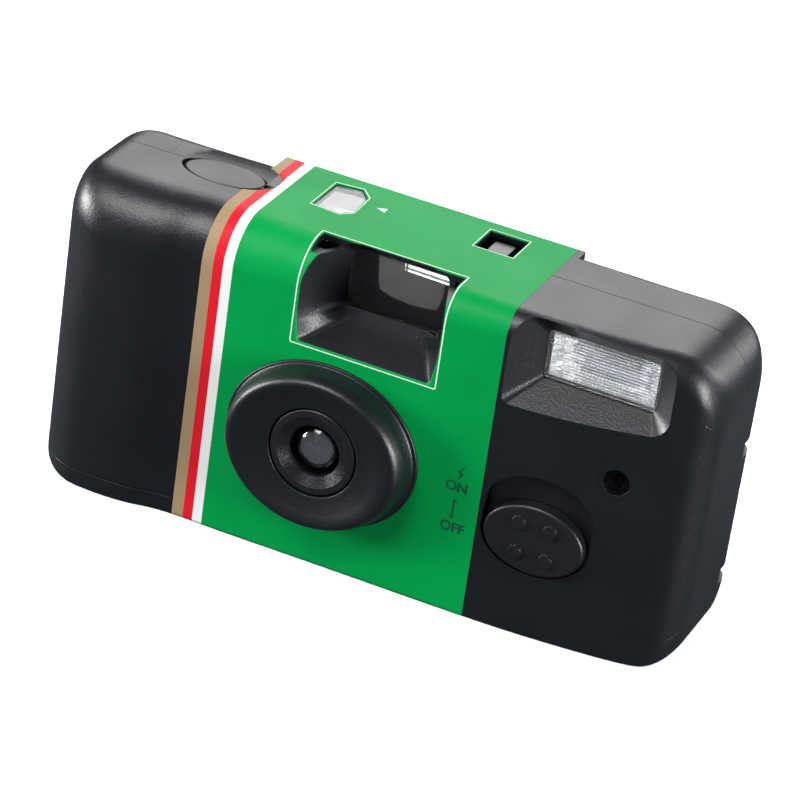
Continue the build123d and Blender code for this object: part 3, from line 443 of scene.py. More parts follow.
@dataclass(frozen=True)
class Finish:
    """A finish with grain, rubbed edges, slow variation and specks.

    Attributes:
        name: the material's name.
        colour: its colour, of which the share shade is left in the darkest blotches.
        rough: its roughness, which rough_spread is added to in the strongest blotches.
        rough_blotch, shade_blotch: the sizes of the blotches of each kind.
        worn, wear: the colour of rubbed edges, and how much of it comes through.
        rounding: how far from an edge the rubbing reaches.
        pitch, relief: the distance between grains, and their height.
        metal, specular, coat, coat_rough: what the shader's own sockets say.
        dust: how much of the surface has specks.
        speck, speck_share: the colour of specks, and how much of it comes through.
    """

    name: str
    colour: Colour
    rough: float = 0.5
    rough_spread: float = 0.08
    rough_blotch: float = 9.0
    shade: float = 0.86
    shade_blotch: float = 14.0
    worn: Colour = (0.2, 0.2, 0.21)
    wear: float = 0.25
    rounding: float = 0.15
    pitch: float = 0.25
    relief: float = 0.02
    metal: float = 0.0
    specular: float = 0.5
    coat: float = 0.0
    coat_rough: float = 0.12
    dust: float = 0.04
    speck: Colour = (0.35, 0.34, 0.32)
    speck_share: float = 0.35

    def ground(self, tree: Tree, place: Socket, groups: EffectGroups) -> Socket:
        """The base colour before wear and specks.

        Args:
            tree: the material's tree.
            place: the place in millimetres.
            groups: the shared effects.

        Returns:
            The colour's socket.
        """
        slow = groups.use(tree, Effect.BLOTCH, Place=place, Size=self.shade_blotch)
        return tree.blend(slow.outputs["Value"], shaded(self.colour, self.shade), self.colour)

    def height(self, tree: Tree, place: Socket, groups: EffectGroups) -> Socket:
        """The relief in millimetres for the bump.

        Args:
            tree: the material's tree.
            place: the place in millimetres.
            groups: the shared effects.

        Returns:
            The relief's socket.
        """
        grain = groups.use(tree, Effect.GRAIN, Place=place, Pitch=self.pitch)
        return tree.math("MULTIPLY", grain.outputs["Height"], self.relief)

    def build(self, groups: EffectGroups) -> bpy.types.Material:
        """Args:
            groups: the shared effects.

        Returns:
            The finished material.
        """
        material = bpy.data.materials.new(self.name)
        tree = Tree.emptied(material)
        surface = tree.add("ShaderNodeBsdfPrincipled")
        tree.feed(tree.add("ShaderNodeOutputMaterial").inputs["Surface"], surface.outputs[0])
        place = tree.place()
        worn = groups.use(tree, Effect.WEAR, Place=place, Radius=self.rounding)
        specks = groups.use(tree, Effect.DUST, Place=place, Amount=self.dust)
        slow = groups.use(tree, Effect.BLOTCH, Place=place, Size=self.rough_blotch)
        rubbed = tree.math("MULTIPLY", worn.outputs["Mask"], self.wear)
        speckled = tree.math("MULTIPLY", specks.outputs["Mask"], self.speck_share)
        colour = tree.blend(rubbed, self.ground(tree, place, groups), self.worn)
        bump = tree.add("ShaderNodeBump")
        tree.fill(bump, {
            "Height": self.height(tree, place, groups), "Distance": MM, "Normal": worn.outputs["Normal"]})
        tree.fill(surface, {
            "Base Color": tree.blend(speckled, colour, self.speck),
            "Roughness": tree.math("MULTIPLY_ADD", slow.outputs["Value"], self.rough_spread, self.rough),
            "Metallic": self.metal, "Specular IOR Level": self.specular, "Coat Weight": self.coat,
            "Coat Roughness": self.coat_rough, "Normal": bump.outputs[0]})
        self.adjust(surface)
        return material

    def adjust(self, surface: bpy.types.Node) -> None:
        """Last changes that a special finish makes to the Principled node; a plain one makes none."""


@dataclass(frozen=True)
class Clear(Finish):
    """Clear plastic or glass."""

    ior: float = 1.49

    def adjust(self, surface: bpy.types.Node) -> None:
        """See the base class; makes the surface transmit."""
        surface.inputs["Transmission Weight"].default_value = 1.0
        surface.inputs["IOR"].default_value = self.ior


@dataclass(frozen=True)
class ShellPlastic(Finish):
    """The shell's plastic, with painted shade along the crease down its right-hand end, and the dark joint
    of its halves.

    Attributes:
        crease_middle: z at which the crease lies furthest back.
        crease_y: its y there.
        crease_half, crease_sweep: crease_half above or below that, y has changed by crease_sweep.
        crease_power: the power of z by which it bends.
        crease_from: x beyond which it shows.
        crease_width, seam_half: how far from its middle each line has faded out.
        seam_y: y of the joint.
        seam_depth: how deep both lines are.
        line_shade: the share of the colour that is left in both, as painted shade on the crease and as a
            dark joint at the seam.
    """

    crease_middle: float = 25.0
    crease_y: float = -1.2
    crease_half: float = 18.0
    crease_sweep: float = -5.2
    crease_power: float = 4.0
    crease_from: float = 54.0
    crease_width: float = 0.16
    seam_y: float = 4.8
    seam_half: float = 0.09
    seam_depth: float = 0.03
    line_shade: float = 0.3

    @staticmethod
    def _line(tree: Tree, away: Socket, half: float) -> Socket:
        """One where the distance away is nothing, falling to nothing at half."""
        return tree.math("SUBTRACT", 1.0, tree.ramp(tree.math("ABSOLUTE", away), 0.0, half))

    def _lines(self, tree: Tree, place: Socket) -> Socket:
        """The crease lies at y = crease_y + crease_sweep * |(z - crease_middle) / crease_half| to
        the power crease_power, only beyond x = crease_from, and the joint lies at y = seam_y.

        Args:
            tree: the material's tree.
            place: the place in millimetres.

        Returns:
            A mask of the two lines.
        """
        parts = tree.split(place)
        along = tree.math(
            "DIVIDE", tree.math("SUBTRACT", parts["Z"], self.crease_middle), self.crease_half)
        bend = tree.math("POWER", tree.math("ABSOLUTE", along), self.crease_power)
        middle = tree.math("ADD", tree.math("MULTIPLY", bend, self.crease_sweep), self.crease_y)
        # The crease's line is darkened as painted shade where the rounded front meets the flat side; the
        # joint's line is a real dark joint.
        crease = self._line(tree, tree.math("SUBTRACT", parts["Y"], middle), self.crease_width)
        crease = tree.math("MULTIPLY", crease, tree.math("GREATER_THAN", parts["X"], self.crease_from))
        joint = self._line(tree, tree.math("SUBTRACT", parts["Y"], self.seam_y), self.seam_half)
        return tree.math("MAXIMUM", crease, joint)

    def ground(self, tree: Tree, place: Socket, groups: EffectGroups) -> Socket:
        """See the base class; darkens the two lines, the crease with painted shade and the joint as a dark
        line.
        """
        plain = super().ground(tree, place, groups)
        return tree.blend(self._lines(tree, place), plain, shaded(self.colour, self.line_shade))

    def height(self, tree: Tree, place: Socket, groups: EffectGroups) -> Socket:
        """See the base class; sinks the two lines."""
        plain = super().height(tree, place, groups)
        return tree.math("SUBTRACT", plain, tree.math("MULTIPLY", self._lines(tree, place), self.seam_depth))


@dataclass(frozen=True)
class Print(Finish):
    """The printed wrap: three stripes, a plain ground and a line round the finder's opening.

    Attributes:
        stripes: the right-hand edge and the colour of each stripe, from the right.
        line: the line's colour.
        box_middle, box_half: the middle of the box that the line goes round, and its half sizes.
        line_gap, line_width: how far from the box the line starts, and how wide it is.
    """

    stripes: tuple[tuple[float, Colour], ...] = (
        (-24.4, (0.8, 0.81, 0.81)), (-26.1, (0.68, 0.012, 0.024)), (-27.8, (0.34, 0.24, 0.14)))
    line: Colour = (0.72, 0.86, 0.74)
    box_middle: Triple = (-0.8, -12.7, 49.0)
    box_half: Triple = (12.2, 8.0, 11.0)
    line_gap: float = 0.2
    line_width: float = 0.2

    def ground(self, tree: Tree, place: Socket, groups: EffectGroups) -> Socket:
        """See the base class; each stripe covers all that lies left of its edge."""
        across = tree.split(place)["X"]
        colour = super().ground(tree, place, groups)
        for edge, stripe in self.stripes:
            colour = tree.blend(tree.math("LESS_THAN", across, edge), colour, stripe)
        line = groups.use(
            tree, Effect.OUTLINE, Place=place, Middle=self.box_middle, Half=self.box_half,
            Gap=self.line_gap, Width=self.line_width)
        return tree.blend(line.outputs["Mask"], colour, self.line)


@dataclass(frozen=True)
class Brushed(Finish):
    """Drawn or rolled metal."""

    def height(self, tree: Tree, place: Socket, groups: EffectGroups) -> Socket:
        """See the base class; has drawn lines in place of grain."""
        lines = groups.use(tree, Effect.BRUSH, Place=place, Pitch=self.pitch)
        return tree.math("MULTIPLY", lines.outputs["Height"], self.relief)


@dataclass(frozen=True)
class Wound(Finish):
    """Fine turns of wire or film, one beside the other along one axis.

    Attributes:
        turn: the distance from one turn to the next.
        axis: the axis along which they lie.
    """

    turn: float = 0.3
    axis: str = "X"

    def height(self, tree: Tree, place: Socket, groups: EffectGroups) -> Socket:
        """See the base class; has a sine wave for each turn in place of grain."""
        turned = tree.math("MULTIPLY", tree.split(place)[self.axis], 2 * math.pi / self.turn)
        return tree.math("MULTIPLY", tree.math("SINE", turned), self.relief)


@dataclass(frozen=True)
class Laminate(Finish):
    """A circuit board with tracks.

    Attributes:
        track: the tracks' colour.
        track_pitch: the size of the pattern's cells.
        track_level: how far from a cell's middle its track starts, as a share of the cell.
    """

    track: Colour = (0.55, 0.3, 0.08)
    track_pitch: float = 2.4
    track_level: float = 0.42

    def ground(self, tree: Tree, place: Socket, groups: EffectGroups) -> Socket:
        """See the base class; tracks follow the edges of a blocky pattern's cells."""
        cells = tree.add("ShaderNodeTexVoronoi", distance="CHEBYCHEV", feature="F1")
        tree.fill(cells, {"Vector": place, "Scale": 1 / self.track_pitch})
        mask = tree.math("GREATER_THAN", cells.outputs["Distance"], self.track_level)
        return tree.blend(mask, super().ground(tree, place, groups), self.track)


class Shop:
    """Makes each material once and puts it on pieces."""

    def __init__(self, groups: EffectGroups) -> None:
        """Starts with the shared effects and no material."""
        self.groups = groups
        self.made: dict[str, bpy.types.Material] = {}

    def _add(self, piece: bpy.types.Object, finish: Finish) -> None:
        """Args:
            piece: the piece that gets one more material.
            finish: the finish of that material.
        """
        if finish.name not in self.made:
            self.made[finish.name] = finish.build(self.groups)
        piece.data.materials.append(self.made[finish.name])
        LOG.info("finished %s with %s", piece.name, finish.name)

    def put(self, piece: bpy.types.Object, finish: Finish) -> None:
        """Gives a piece one finish in place of what it had."""
        piece.data.materials.clear()
        self._add(piece, finish)

    def put_second(self, piece: bpy.types.Object, finish: Finish, chosen: Callable[[Vector], bool]) -> None:
        """Args:
            piece: a piece that has its first finish.
            finish: the finish of some of its faces.
            chosen: says of a face's middle, in millimetres, whether the face gets it.
        """
        self._add(piece, finish)
        second = len(piece.data.materials) - 1
        for face in piece.data.polygons:
            if chosen(face.center / MM):
                face.material_index = second


SHELL = ShellPlastic("shell_black", (0.0042, 0.0056, 0.009), rough=0.34, rough_spread=0.06, wear=0.1,
                     worn=(0.05, 0.053, 0.06), pitch=0.27, relief=0.055, specular=0.55)
# The black of the inner parts, also put on the service hole's wall as painted shade.
INNER_BLACK_AND_SHADE = Finish("inner_black_and_shade", (0.003, 0.003, 0.004), rough=0.6, relief=0.003, specular=0.1)
# A flat grey for the back of the lens's glass: painted shade for the dim space behind it.
PAINTED_LENS_SHADE = Finish("painted_lens_shade", (0.07, 0.073, 0.082), rough=0.35, relief=0.002, wear=0.0)
# A dim grey for the ready light's guide: painted shade, where the guide lies in shadow.
PAINTED_SHADE_GUIDE = Finish("painted_shade_guide", (0.035, 0.035, 0.036), rough=0.3, relief=0.003, wear=0.05, coat=0.2)
CONTROL = Finish("control_black", (0.005, 0.006, 0.009), rough=0.36, pitch=0.2, relief=0.02, wear=0.2,
                 worn=(0.06, 0.065, 0.07), specular=0.6)
LABEL = Print("label_print", (0.0, 0.31, 0.066), rough=0.4, rough_spread=0.05, wear=0.1,
              worn=(0.3, 0.5, 0.3), pitch=0.5, relief=0.003, specular=0.1, rounding=0.08)
INK_DARK = Finish("ink_dark_green", (0.0, 0.09, 0.035), rough=0.4, relief=0.002, wear=0.0)
INK_PALE = Finish("ink_pale", (0.72, 0.88, 0.74), rough=0.4, relief=0.002, wear=0.0)
INK_BLACK = Finish("ink_black", (0.02, 0.02, 0.02), rough=0.5, relief=0.002, wear=0.0)
CLEAR = Clear("clear_plastic", (0.97, 0.98, 0.98), rough=0.01, rough_spread=0.015, relief=0.0003,
              wear=0.0, pitch=2.0, dust=0.02)
LENS_GLASS = Clear("lens_glass", (0.5, 0.54, 0.6), rough=0.14, rough_spread=0.02, relief=0.0004,
                   wear=0.0, coat=1.0, pitch=2.0, dust=0.0)
MILKY = Finish("milky_plastic", (0.5, 0.51, 0.5), rough=0.35, relief=0.004, wear=0.1, coat=0.2)
MIRROR = Brushed("bright_reflector", (0.93, 0.94, 0.96), rough=0.08, rough_spread=0.04, metal=1.0,
                 pitch=0.3, relief=0.0005, wear=0.0, rounding=0.01)
SPRING = Brushed("spring_metal", (0.55, 0.55, 0.56), rough=0.3, metal=1.0, pitch=0.1, relief=0.004,
                 wear=0.2, worn=(0.75, 0.75, 0.76))
CAN = Brushed("painted_sheet", (0.008, 0.008, 0.01), rough=0.4, pitch=0.2, relief=0.004,
              worn=(0.4, 0.4, 0.41))
FILM = Wound("film_coil", (0.16, 0.07, 0.04), rough=0.22, turn=0.14, axis="Y", relief=0.01, wear=0.0)
BOARD = Laminate("board_laminate", (0.2, 0.11, 0.04), rough=0.4, relief=0.01, coat=0.3)
SLEEVE = Finish("capacitor_sleeve", (0.01, 0.01, 0.014), rough=0.3, relief=0.006, coat=0.3)
COPPER = Wound("copper_winding", (0.5, 0.2, 0.07), rough=0.3, turn=0.25, relief=0.05, metal=0.6)
CELL = Finish("cell_jacket", (0.03, 0.035, 0.04), rough=0.3, relief=0.003, coat=0.3, worn=(0.5, 0.5, 0.5))
AMBER = Finish("lamp_amber", (0.8, 0.25, 0.03), rough=0.25, relief=0.002, coat=0.4)

NODE_FINISHES: dict[Finish, tuple[str, ...]] = {
    INNER_BLACK_AND_SHADE: ("main_frame", "cartridge_spool", "lens_holder", "release_lever", "switch_slider"),
    CAN: ("film_cartridge", "shutter_plate", "shutter_blade"),
    FILM: ("film_strip", "film_roll"),
    MILKY: ("sprocket", "counter_dial"),
    # The light guide gets the dim grey as painted shade.
    PAINTED_SHADE_GUIDE: ("light_guide",),
    SPRING: ("wheel_pawl", "blade_spring", "striker", "striker_spring", "switch_contact",
             "battery_contact_negative", "battery_contact_positive"),
    LENS_GLASS: ("xenon_tube",),
    BOARD: ("flash_board",),
    SLEEVE: ("main_capacitor",),
    COPPER: ("transformer", "trigger_coil"),
    CELL: ("battery",),
    AMBER: ("ready_lamp",),
}


def add_object(name: str, data: bpy.types.ID) -> bpy.types.Object:
    """Args:
        name: the new object's name.
        data: its mesh, text, light or camera.

    Returns:
        The object, in the scene.
    """
    made = bpy.data.objects.new(name, data)
    bpy.context.scene.collection.objects.link(made)
    return made


def mesh_corners(mesh: bpy.types.Mesh) -> np.ndarray:
    """Args:
        mesh: a mesh.

    Returns:
        Its points as rows of x, y, z.
    """
    corners = np.empty(len(mesh.vertices) * 3)
    mesh.vertices.foreach_get("co", corners)
    return corners.reshape(-1, 3)


def flat_text(name: str, words: str, size: float,
              weight: float = 0.0) -> tuple[np.ndarray, list[tuple[int, ...]]]:
    """Args:
        name: the name of the piece that the text is for.
        words: what it says.
        size: the height of its line.
        weight: how far its outlines are moved out.

    Returns:
        Rows of x and y about the text's middle, and the faces.
    """
    text = bpy.data.curves.new(name, "FONT")
    text.body = words
    text.size = size
    text.offset = weight
    text.align_x = text.align_y = "CENTER"
    carrier = add_object(name + "_text", text)
    bpy.context.view_layer.update()
    flat = bpy.data.meshes.new_from_object(carrier.evaluated_get(bpy.context.evaluated_depsgraph_get()))
    bpy.data.objects.remove(carrier)
    corners = mesh_corners(flat)[:, :2]
    faces = [tuple(polygon.vertices) for polygon in flat.polygons]
    bpy.data.meshes.remove(flat)
    return corners, faces


class Model:
    """The loaded frame, and the ways to add pieces to it."""

    MERGE_WITHIN = 2e-6
    FACE_AREA_WEIGHT = 100

    def __init__(self) -> None:
        """Loads the frame, and notes its box and which body each node belongs to."""
        self.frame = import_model()
        bodies = self.frame["record"]["behaviour"]["bodies"]
        self.body_of = {node: body for body, nodes in bodies.items() for node in nodes}
        self.loaded_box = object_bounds()

    def node(self, name: str) -> bpy.types.Object:
        """The object of a CAD node."""
        return self.frame["nodes"][name]

    def _adopt(self, name: str, mesh: bpy.types.Mesh, node: str, replaces: bool,
               sharp_above: float) -> bpy.types.Object:
        """Args:
            name: the new piece's name.
            mesh: its mesh, in the frame's axes.
            node: the CAD node whose body it rides on.
            replaces: whether it stands for that node.
            sharp_above: the angle in degrees above which edges stay sharp.

        Returns:
            The new piece.
        """
        mesh.shade_smooth()
        mesh.set_sharp_from_angle(angle=math.radians(sharp_above))
        piece = add_object(name, mesh)
        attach(piece, self.body_of[node])
        if replaces:
            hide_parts(node)
        LOG.info("built %s on %s", piece.name, self.body_of[node])
        return piece

    def mesh_piece(self, name: str, points: np.ndarray, faces: Sequence[Sequence[int]], node: str,
                   replaces: bool = False, sharp_above: float = 35.0) -> bpy.types.Object:
        """Args:
            name: the new piece's name.
            points: rows of x, y, z in millimetres.
            faces: rows of point numbers.
            node: the CAD node whose body it rides on.
            replaces: whether it stands for that node.
            sharp_above: the angle in degrees above which edges stay sharp.

        Returns:
            The new piece.
        """
        mesh = bpy.data.meshes.new(name)
        mesh.from_pydata((points * MM).tolist(), [], [list(map(int, face)) for face in faces])
        mesh.validate()
        return self._adopt(name, mesh, node, replaces, sharp_above)

    def smooth_copy(self, node: str, name: str, sharp_above: float = 26.0) -> bpy.types.Object:
        """A merged copy of a CAD node that shades smoothly between its sharp edges.

        Args:
            node: the CAD node.
            name: the new piece's name.
            sharp_above: the angle in degrees above which edges stay sharp.

        Returns:
            The new piece, which stands for the node.
        """
        mesh = self.node(node).data.copy()
        mesh.name = name
        if "custom_normal" in mesh.attributes:
            mesh.attributes.remove(mesh.attributes["custom_normal"])
        work = bmesh.new()
        work.from_mesh(mesh)
        bmesh.ops.remove_doubles(work, verts=work.verts, dist=self.MERGE_WITHIN)
        work.to_mesh(mesh)
        work.free()
        piece = self._adopt(name, mesh, node, True, sharp_above)
        evened = piece.modifiers.new("evened_normals", "WEIGHTED_NORMAL")
        evened.keep_sharp = True
        evened.weight = self.FACE_AREA_WEIGHT
        return piece


def grid_faces(rows: int, columns: int, closed: bool) -> np.ndarray:
    """Quads of a grid of points, row after row.

    Args:
        rows: how many rows of points.
        columns: how many points in a row.
        closed: whether each row joins its own start.

    Returns:
        Rows of four point numbers.
    """
    row, column = np.meshgrid(
        np.arange(rows - 1), np.arange(columns if closed else columns - 1), indexing="ij")
    after = (column + 1) % columns
    quads = np.stack([row * columns + column, row * columns + after,
                      (row + 1) * columns + after, (row + 1) * columns + column], axis=-1)
    return quads.reshape(-1, 4)


def smooth_curve(knots: np.ndarray, count: int) -> np.ndarray:
    """A curve through the knots, each stretch a cubic whose slopes come from the knots beside it.

    Args:
        knots: rows of coordinates.
        count: how many points to give back, evenly over the knots.

    Returns:
        The points of the curve.
    """
    slope = np.zeros_like(knots)
    slope[1:-1] = (knots[2:] - knots[:-2]) / 2
    slope[0], slope[-1] = knots[1] - knots[0], knots[-1] - knots[-2]
    at = np.linspace(0, len(knots) - 1, count)
    first = np.minimum(at.astype(int), len(knots) - 2)
    t = (at - first)[:, None]
    return ((2 * t ** 3 - 3 * t ** 2 + 1) * knots[first] + (t ** 3 - 2 * t ** 2 + t) * slope[first]
            + (3 * t ** 2 - 2 * t ** 3) * knots[first + 1] + (t ** 3 - t ** 2) * slope[first + 1])


def around(turns: int) -> np.ndarray:
    """Even angles round a turn."""
    return np.linspace(0, 2 * math.pi, turns, endpoint=False)


def turned_surface(radius: np.ndarray, depth: np.ndarray, turns: int) -> tuple[np.ndarray, np.ndarray]:
    """A surface round the lens's axis: x = cx + r cos t, y = depth, z = cz + r sin t.

    Args:
        radius: a row for each depth, of one radius or of one for each angle.
        depth: y of each row, from the back, outwards and then in over the front.
        turns: how many points go round.

    Returns:
        The points and the faces, which point outwards.
    """
    angle = around(turns)
    points = np.stack([
        LENS_AXIS[0] + radius * np.cos(angle), np.broadcast_to(depth[:, None], (len(depth), turns)),
        LENS_AXIS[1] + radius * np.sin(angle)], axis=-1)
    return points.reshape(-1, 3), grid_faces(len(depth), turns, True)


class Assembly(ABC):
    """A sub-assembly, which is built and then dressed."""

    @abstractmethod
    def build(self, model: Model) -> None:
        """Args:
            model: the frame that the pieces are added to.
        """

    @abstractmethod
    def dress(self, shop: Shop) -> None:
        """Args:
            shop: where the finishes come from.
        """


@dataclass
class Shell(Assembly):
    """The three moulded covers, the front one with a finer lens surround and a level hole.

    Attributes:
        pieces: each cover's node, and the name of its copy.
        half: half the width and half the height of the surround.
        bore: its radius inside.
        cut_from: y in front of which the plain surround lies.
        cut_share: the square of the cut's size as a share of the surround's.
        hole, hole_radius: x and z of the service hole, and its radius.
        boss_radius: the radius of its boss.
        fit_radius: how far from the hole the front is measured.
        front_limit: y in front of which a point is on the cover's outside there.
        hole_mouth, hole_end: y of the front and back of its wall, which is darkened as painted shade.
        turns, layers: the surround's points round the axis, and from the outside in.
        sharp_above: the angle in degrees above which its edges stay sharp.
        profile: the share of the way from the bore to the oval, and y, from the outside in.
    """

    pieces: tuple[tuple[str, str], ...] = (
        ("front_cover", "front_cover_shell"), ("rear_cover", "rear_cover_shell"),
        ("cartridge_lid", "cartridge_lid_shell"))
    half: Pair = (16.5, 14.0)
    bore: float = 7.6
    cut_from: float = -12.2
    cut_share: float = 1.03
    hole: Pair = (42.4, 31.1)
    hole_radius: float = 2.25
    boss_radius: float = 3.5
    fit_radius: float = 7.0
    front_limit: float = -9.5
    hole_mouth: float = -11.98
    hole_end: float = -8.0
    turns: int = 160
    layers: int = 72
    sharp_above: float = 50.0
    profile: tuple[Pair, ...] = (
        (1.0, -11.6), (1.0, -12.35), (0.93, -12.55), (0.895, -13.6), (0.87, -15.0), (0.81, -16.35),
        (0.71, -16.96), (0.56, -16.84), (0.36, -16.35), (0.16, -15.95), (0.03, -15.75), (0.0, -15.5),
        (0.0, -14.0))

    def build(self, model: Model) -> None:
        """See the base class; copies the covers and works on the front one."""
        self.made = [model.smooth_copy(node, name) for node, name in self.pieces]
        self._open_front(self.made[0])
        self._level_hole(self.made[0])
        self.made.append(self._surround(model))

    def dress(self, shop: Shop) -> None:
        """See the base class; the service hole's inside gets the darker inner black as painted shade."""
        for piece in self.made:
            shop.put(piece, SHELL)
        # The hole's wall gets the inner black as painted shade, so that the hole reads dark.
        shop.put_second(self.made[0], INNER_BLACK_AND_SHADE, self._in_hole)

    def _in_hole(self, middle: Vector) -> bool:
        """Whether a face with this middle, in millimetres, lies inside the service hole."""
        away = math.hypot(middle.x - self.hole[0], middle.z - self.hole[1])
        return away < self.hole_radius and self.hole_mouth < middle.y < self.hole_end

    def _open_front(self, cover: bpy.types.Object) -> None:
        """Takes the plain surround off the copied cover, where the finer one goes: the faces in
        front of cut_from whose middle lies within an oval a little wider than the surround.

        Args:
            cover: the copied front cover.
        """
        work = bmesh.new()
        work.from_mesh(cover.data)
        gone = []
        for face in work.faces:
            middle = face.calc_center_median() / MM
            across = (middle.x - LENS_AXIS[0]) / self.half[0]
            up = (middle.z - LENS_AXIS[1]) / self.half[1]
            if middle.y < self.cut_from and across ** 2 + up ** 2 < self.cut_share:
                gone.append(face)
        bmesh.ops.delete(work, geom=gone, context="FACES")
        work.to_mesh(cover.data)
        work.free()

    def _level_hole(self, cover: bpy.types.Object) -> None:
        """Brings the service hole and its rim level with the front round it. The front there is the
        plane y = a x + b z + c that fits the points between boss_radius and fit_radius best.

        Args:
            cover: the copied front cover.
        """
        corners = mesh_corners(cover.data) / MM
        away = np.hypot(corners[:, 0] - self.hole[0], corners[:, 2] - self.hole[1])
        front = corners[:, 1] < self.front_limit
        near = (away > self.boss_radius) & (away < self.fit_radius) & front
        flat = np.column_stack([corners[:, 0], corners[:, 2], np.ones(len(corners))])
        plane = flat @ np.linalg.lstsq(flat[near], corners[near, 1], rcond=None)[0]
        inside = (away < self.hole_radius) & front
        corners[inside, 1] += plane[inside] - corners[inside, 1].min()
        proud = (away < self.boss_radius) & (corners[:, 1] < plane)
        corners[proud, 1] = plane[proud]
        cover.data.vertices.foreach_set("co", (corners * MM).ravel())

    def _surround(self, model: Model) -> bpy.types.Object:
        """An oval ridge with a shallow dish. For a share k, the radius is
        (1 - k) bore + k a b / sqrt((b cos t)^2 + (a sin t)^2), and y follows the profile's curve.

        Args:
            model: the frame.

        Returns:
            The surround.
        """
        share, depth = smooth_curve(np.array(self.profile), self.layers).T
        angle = around(self.turns)
        wide, high = self.half
        oval = wide * high / np.sqrt((high * np.cos(angle)) ** 2 + (wide * np.sin(angle)) ** 2)
        radius = (1 - share[:, None]) * self.bore + share[:, None] * oval
        points, faces = turned_surface(radius, depth, self.turns)
        return model.mesh_piece("lens_surround", points, faces, "front_cover", False, self.sharp_above)


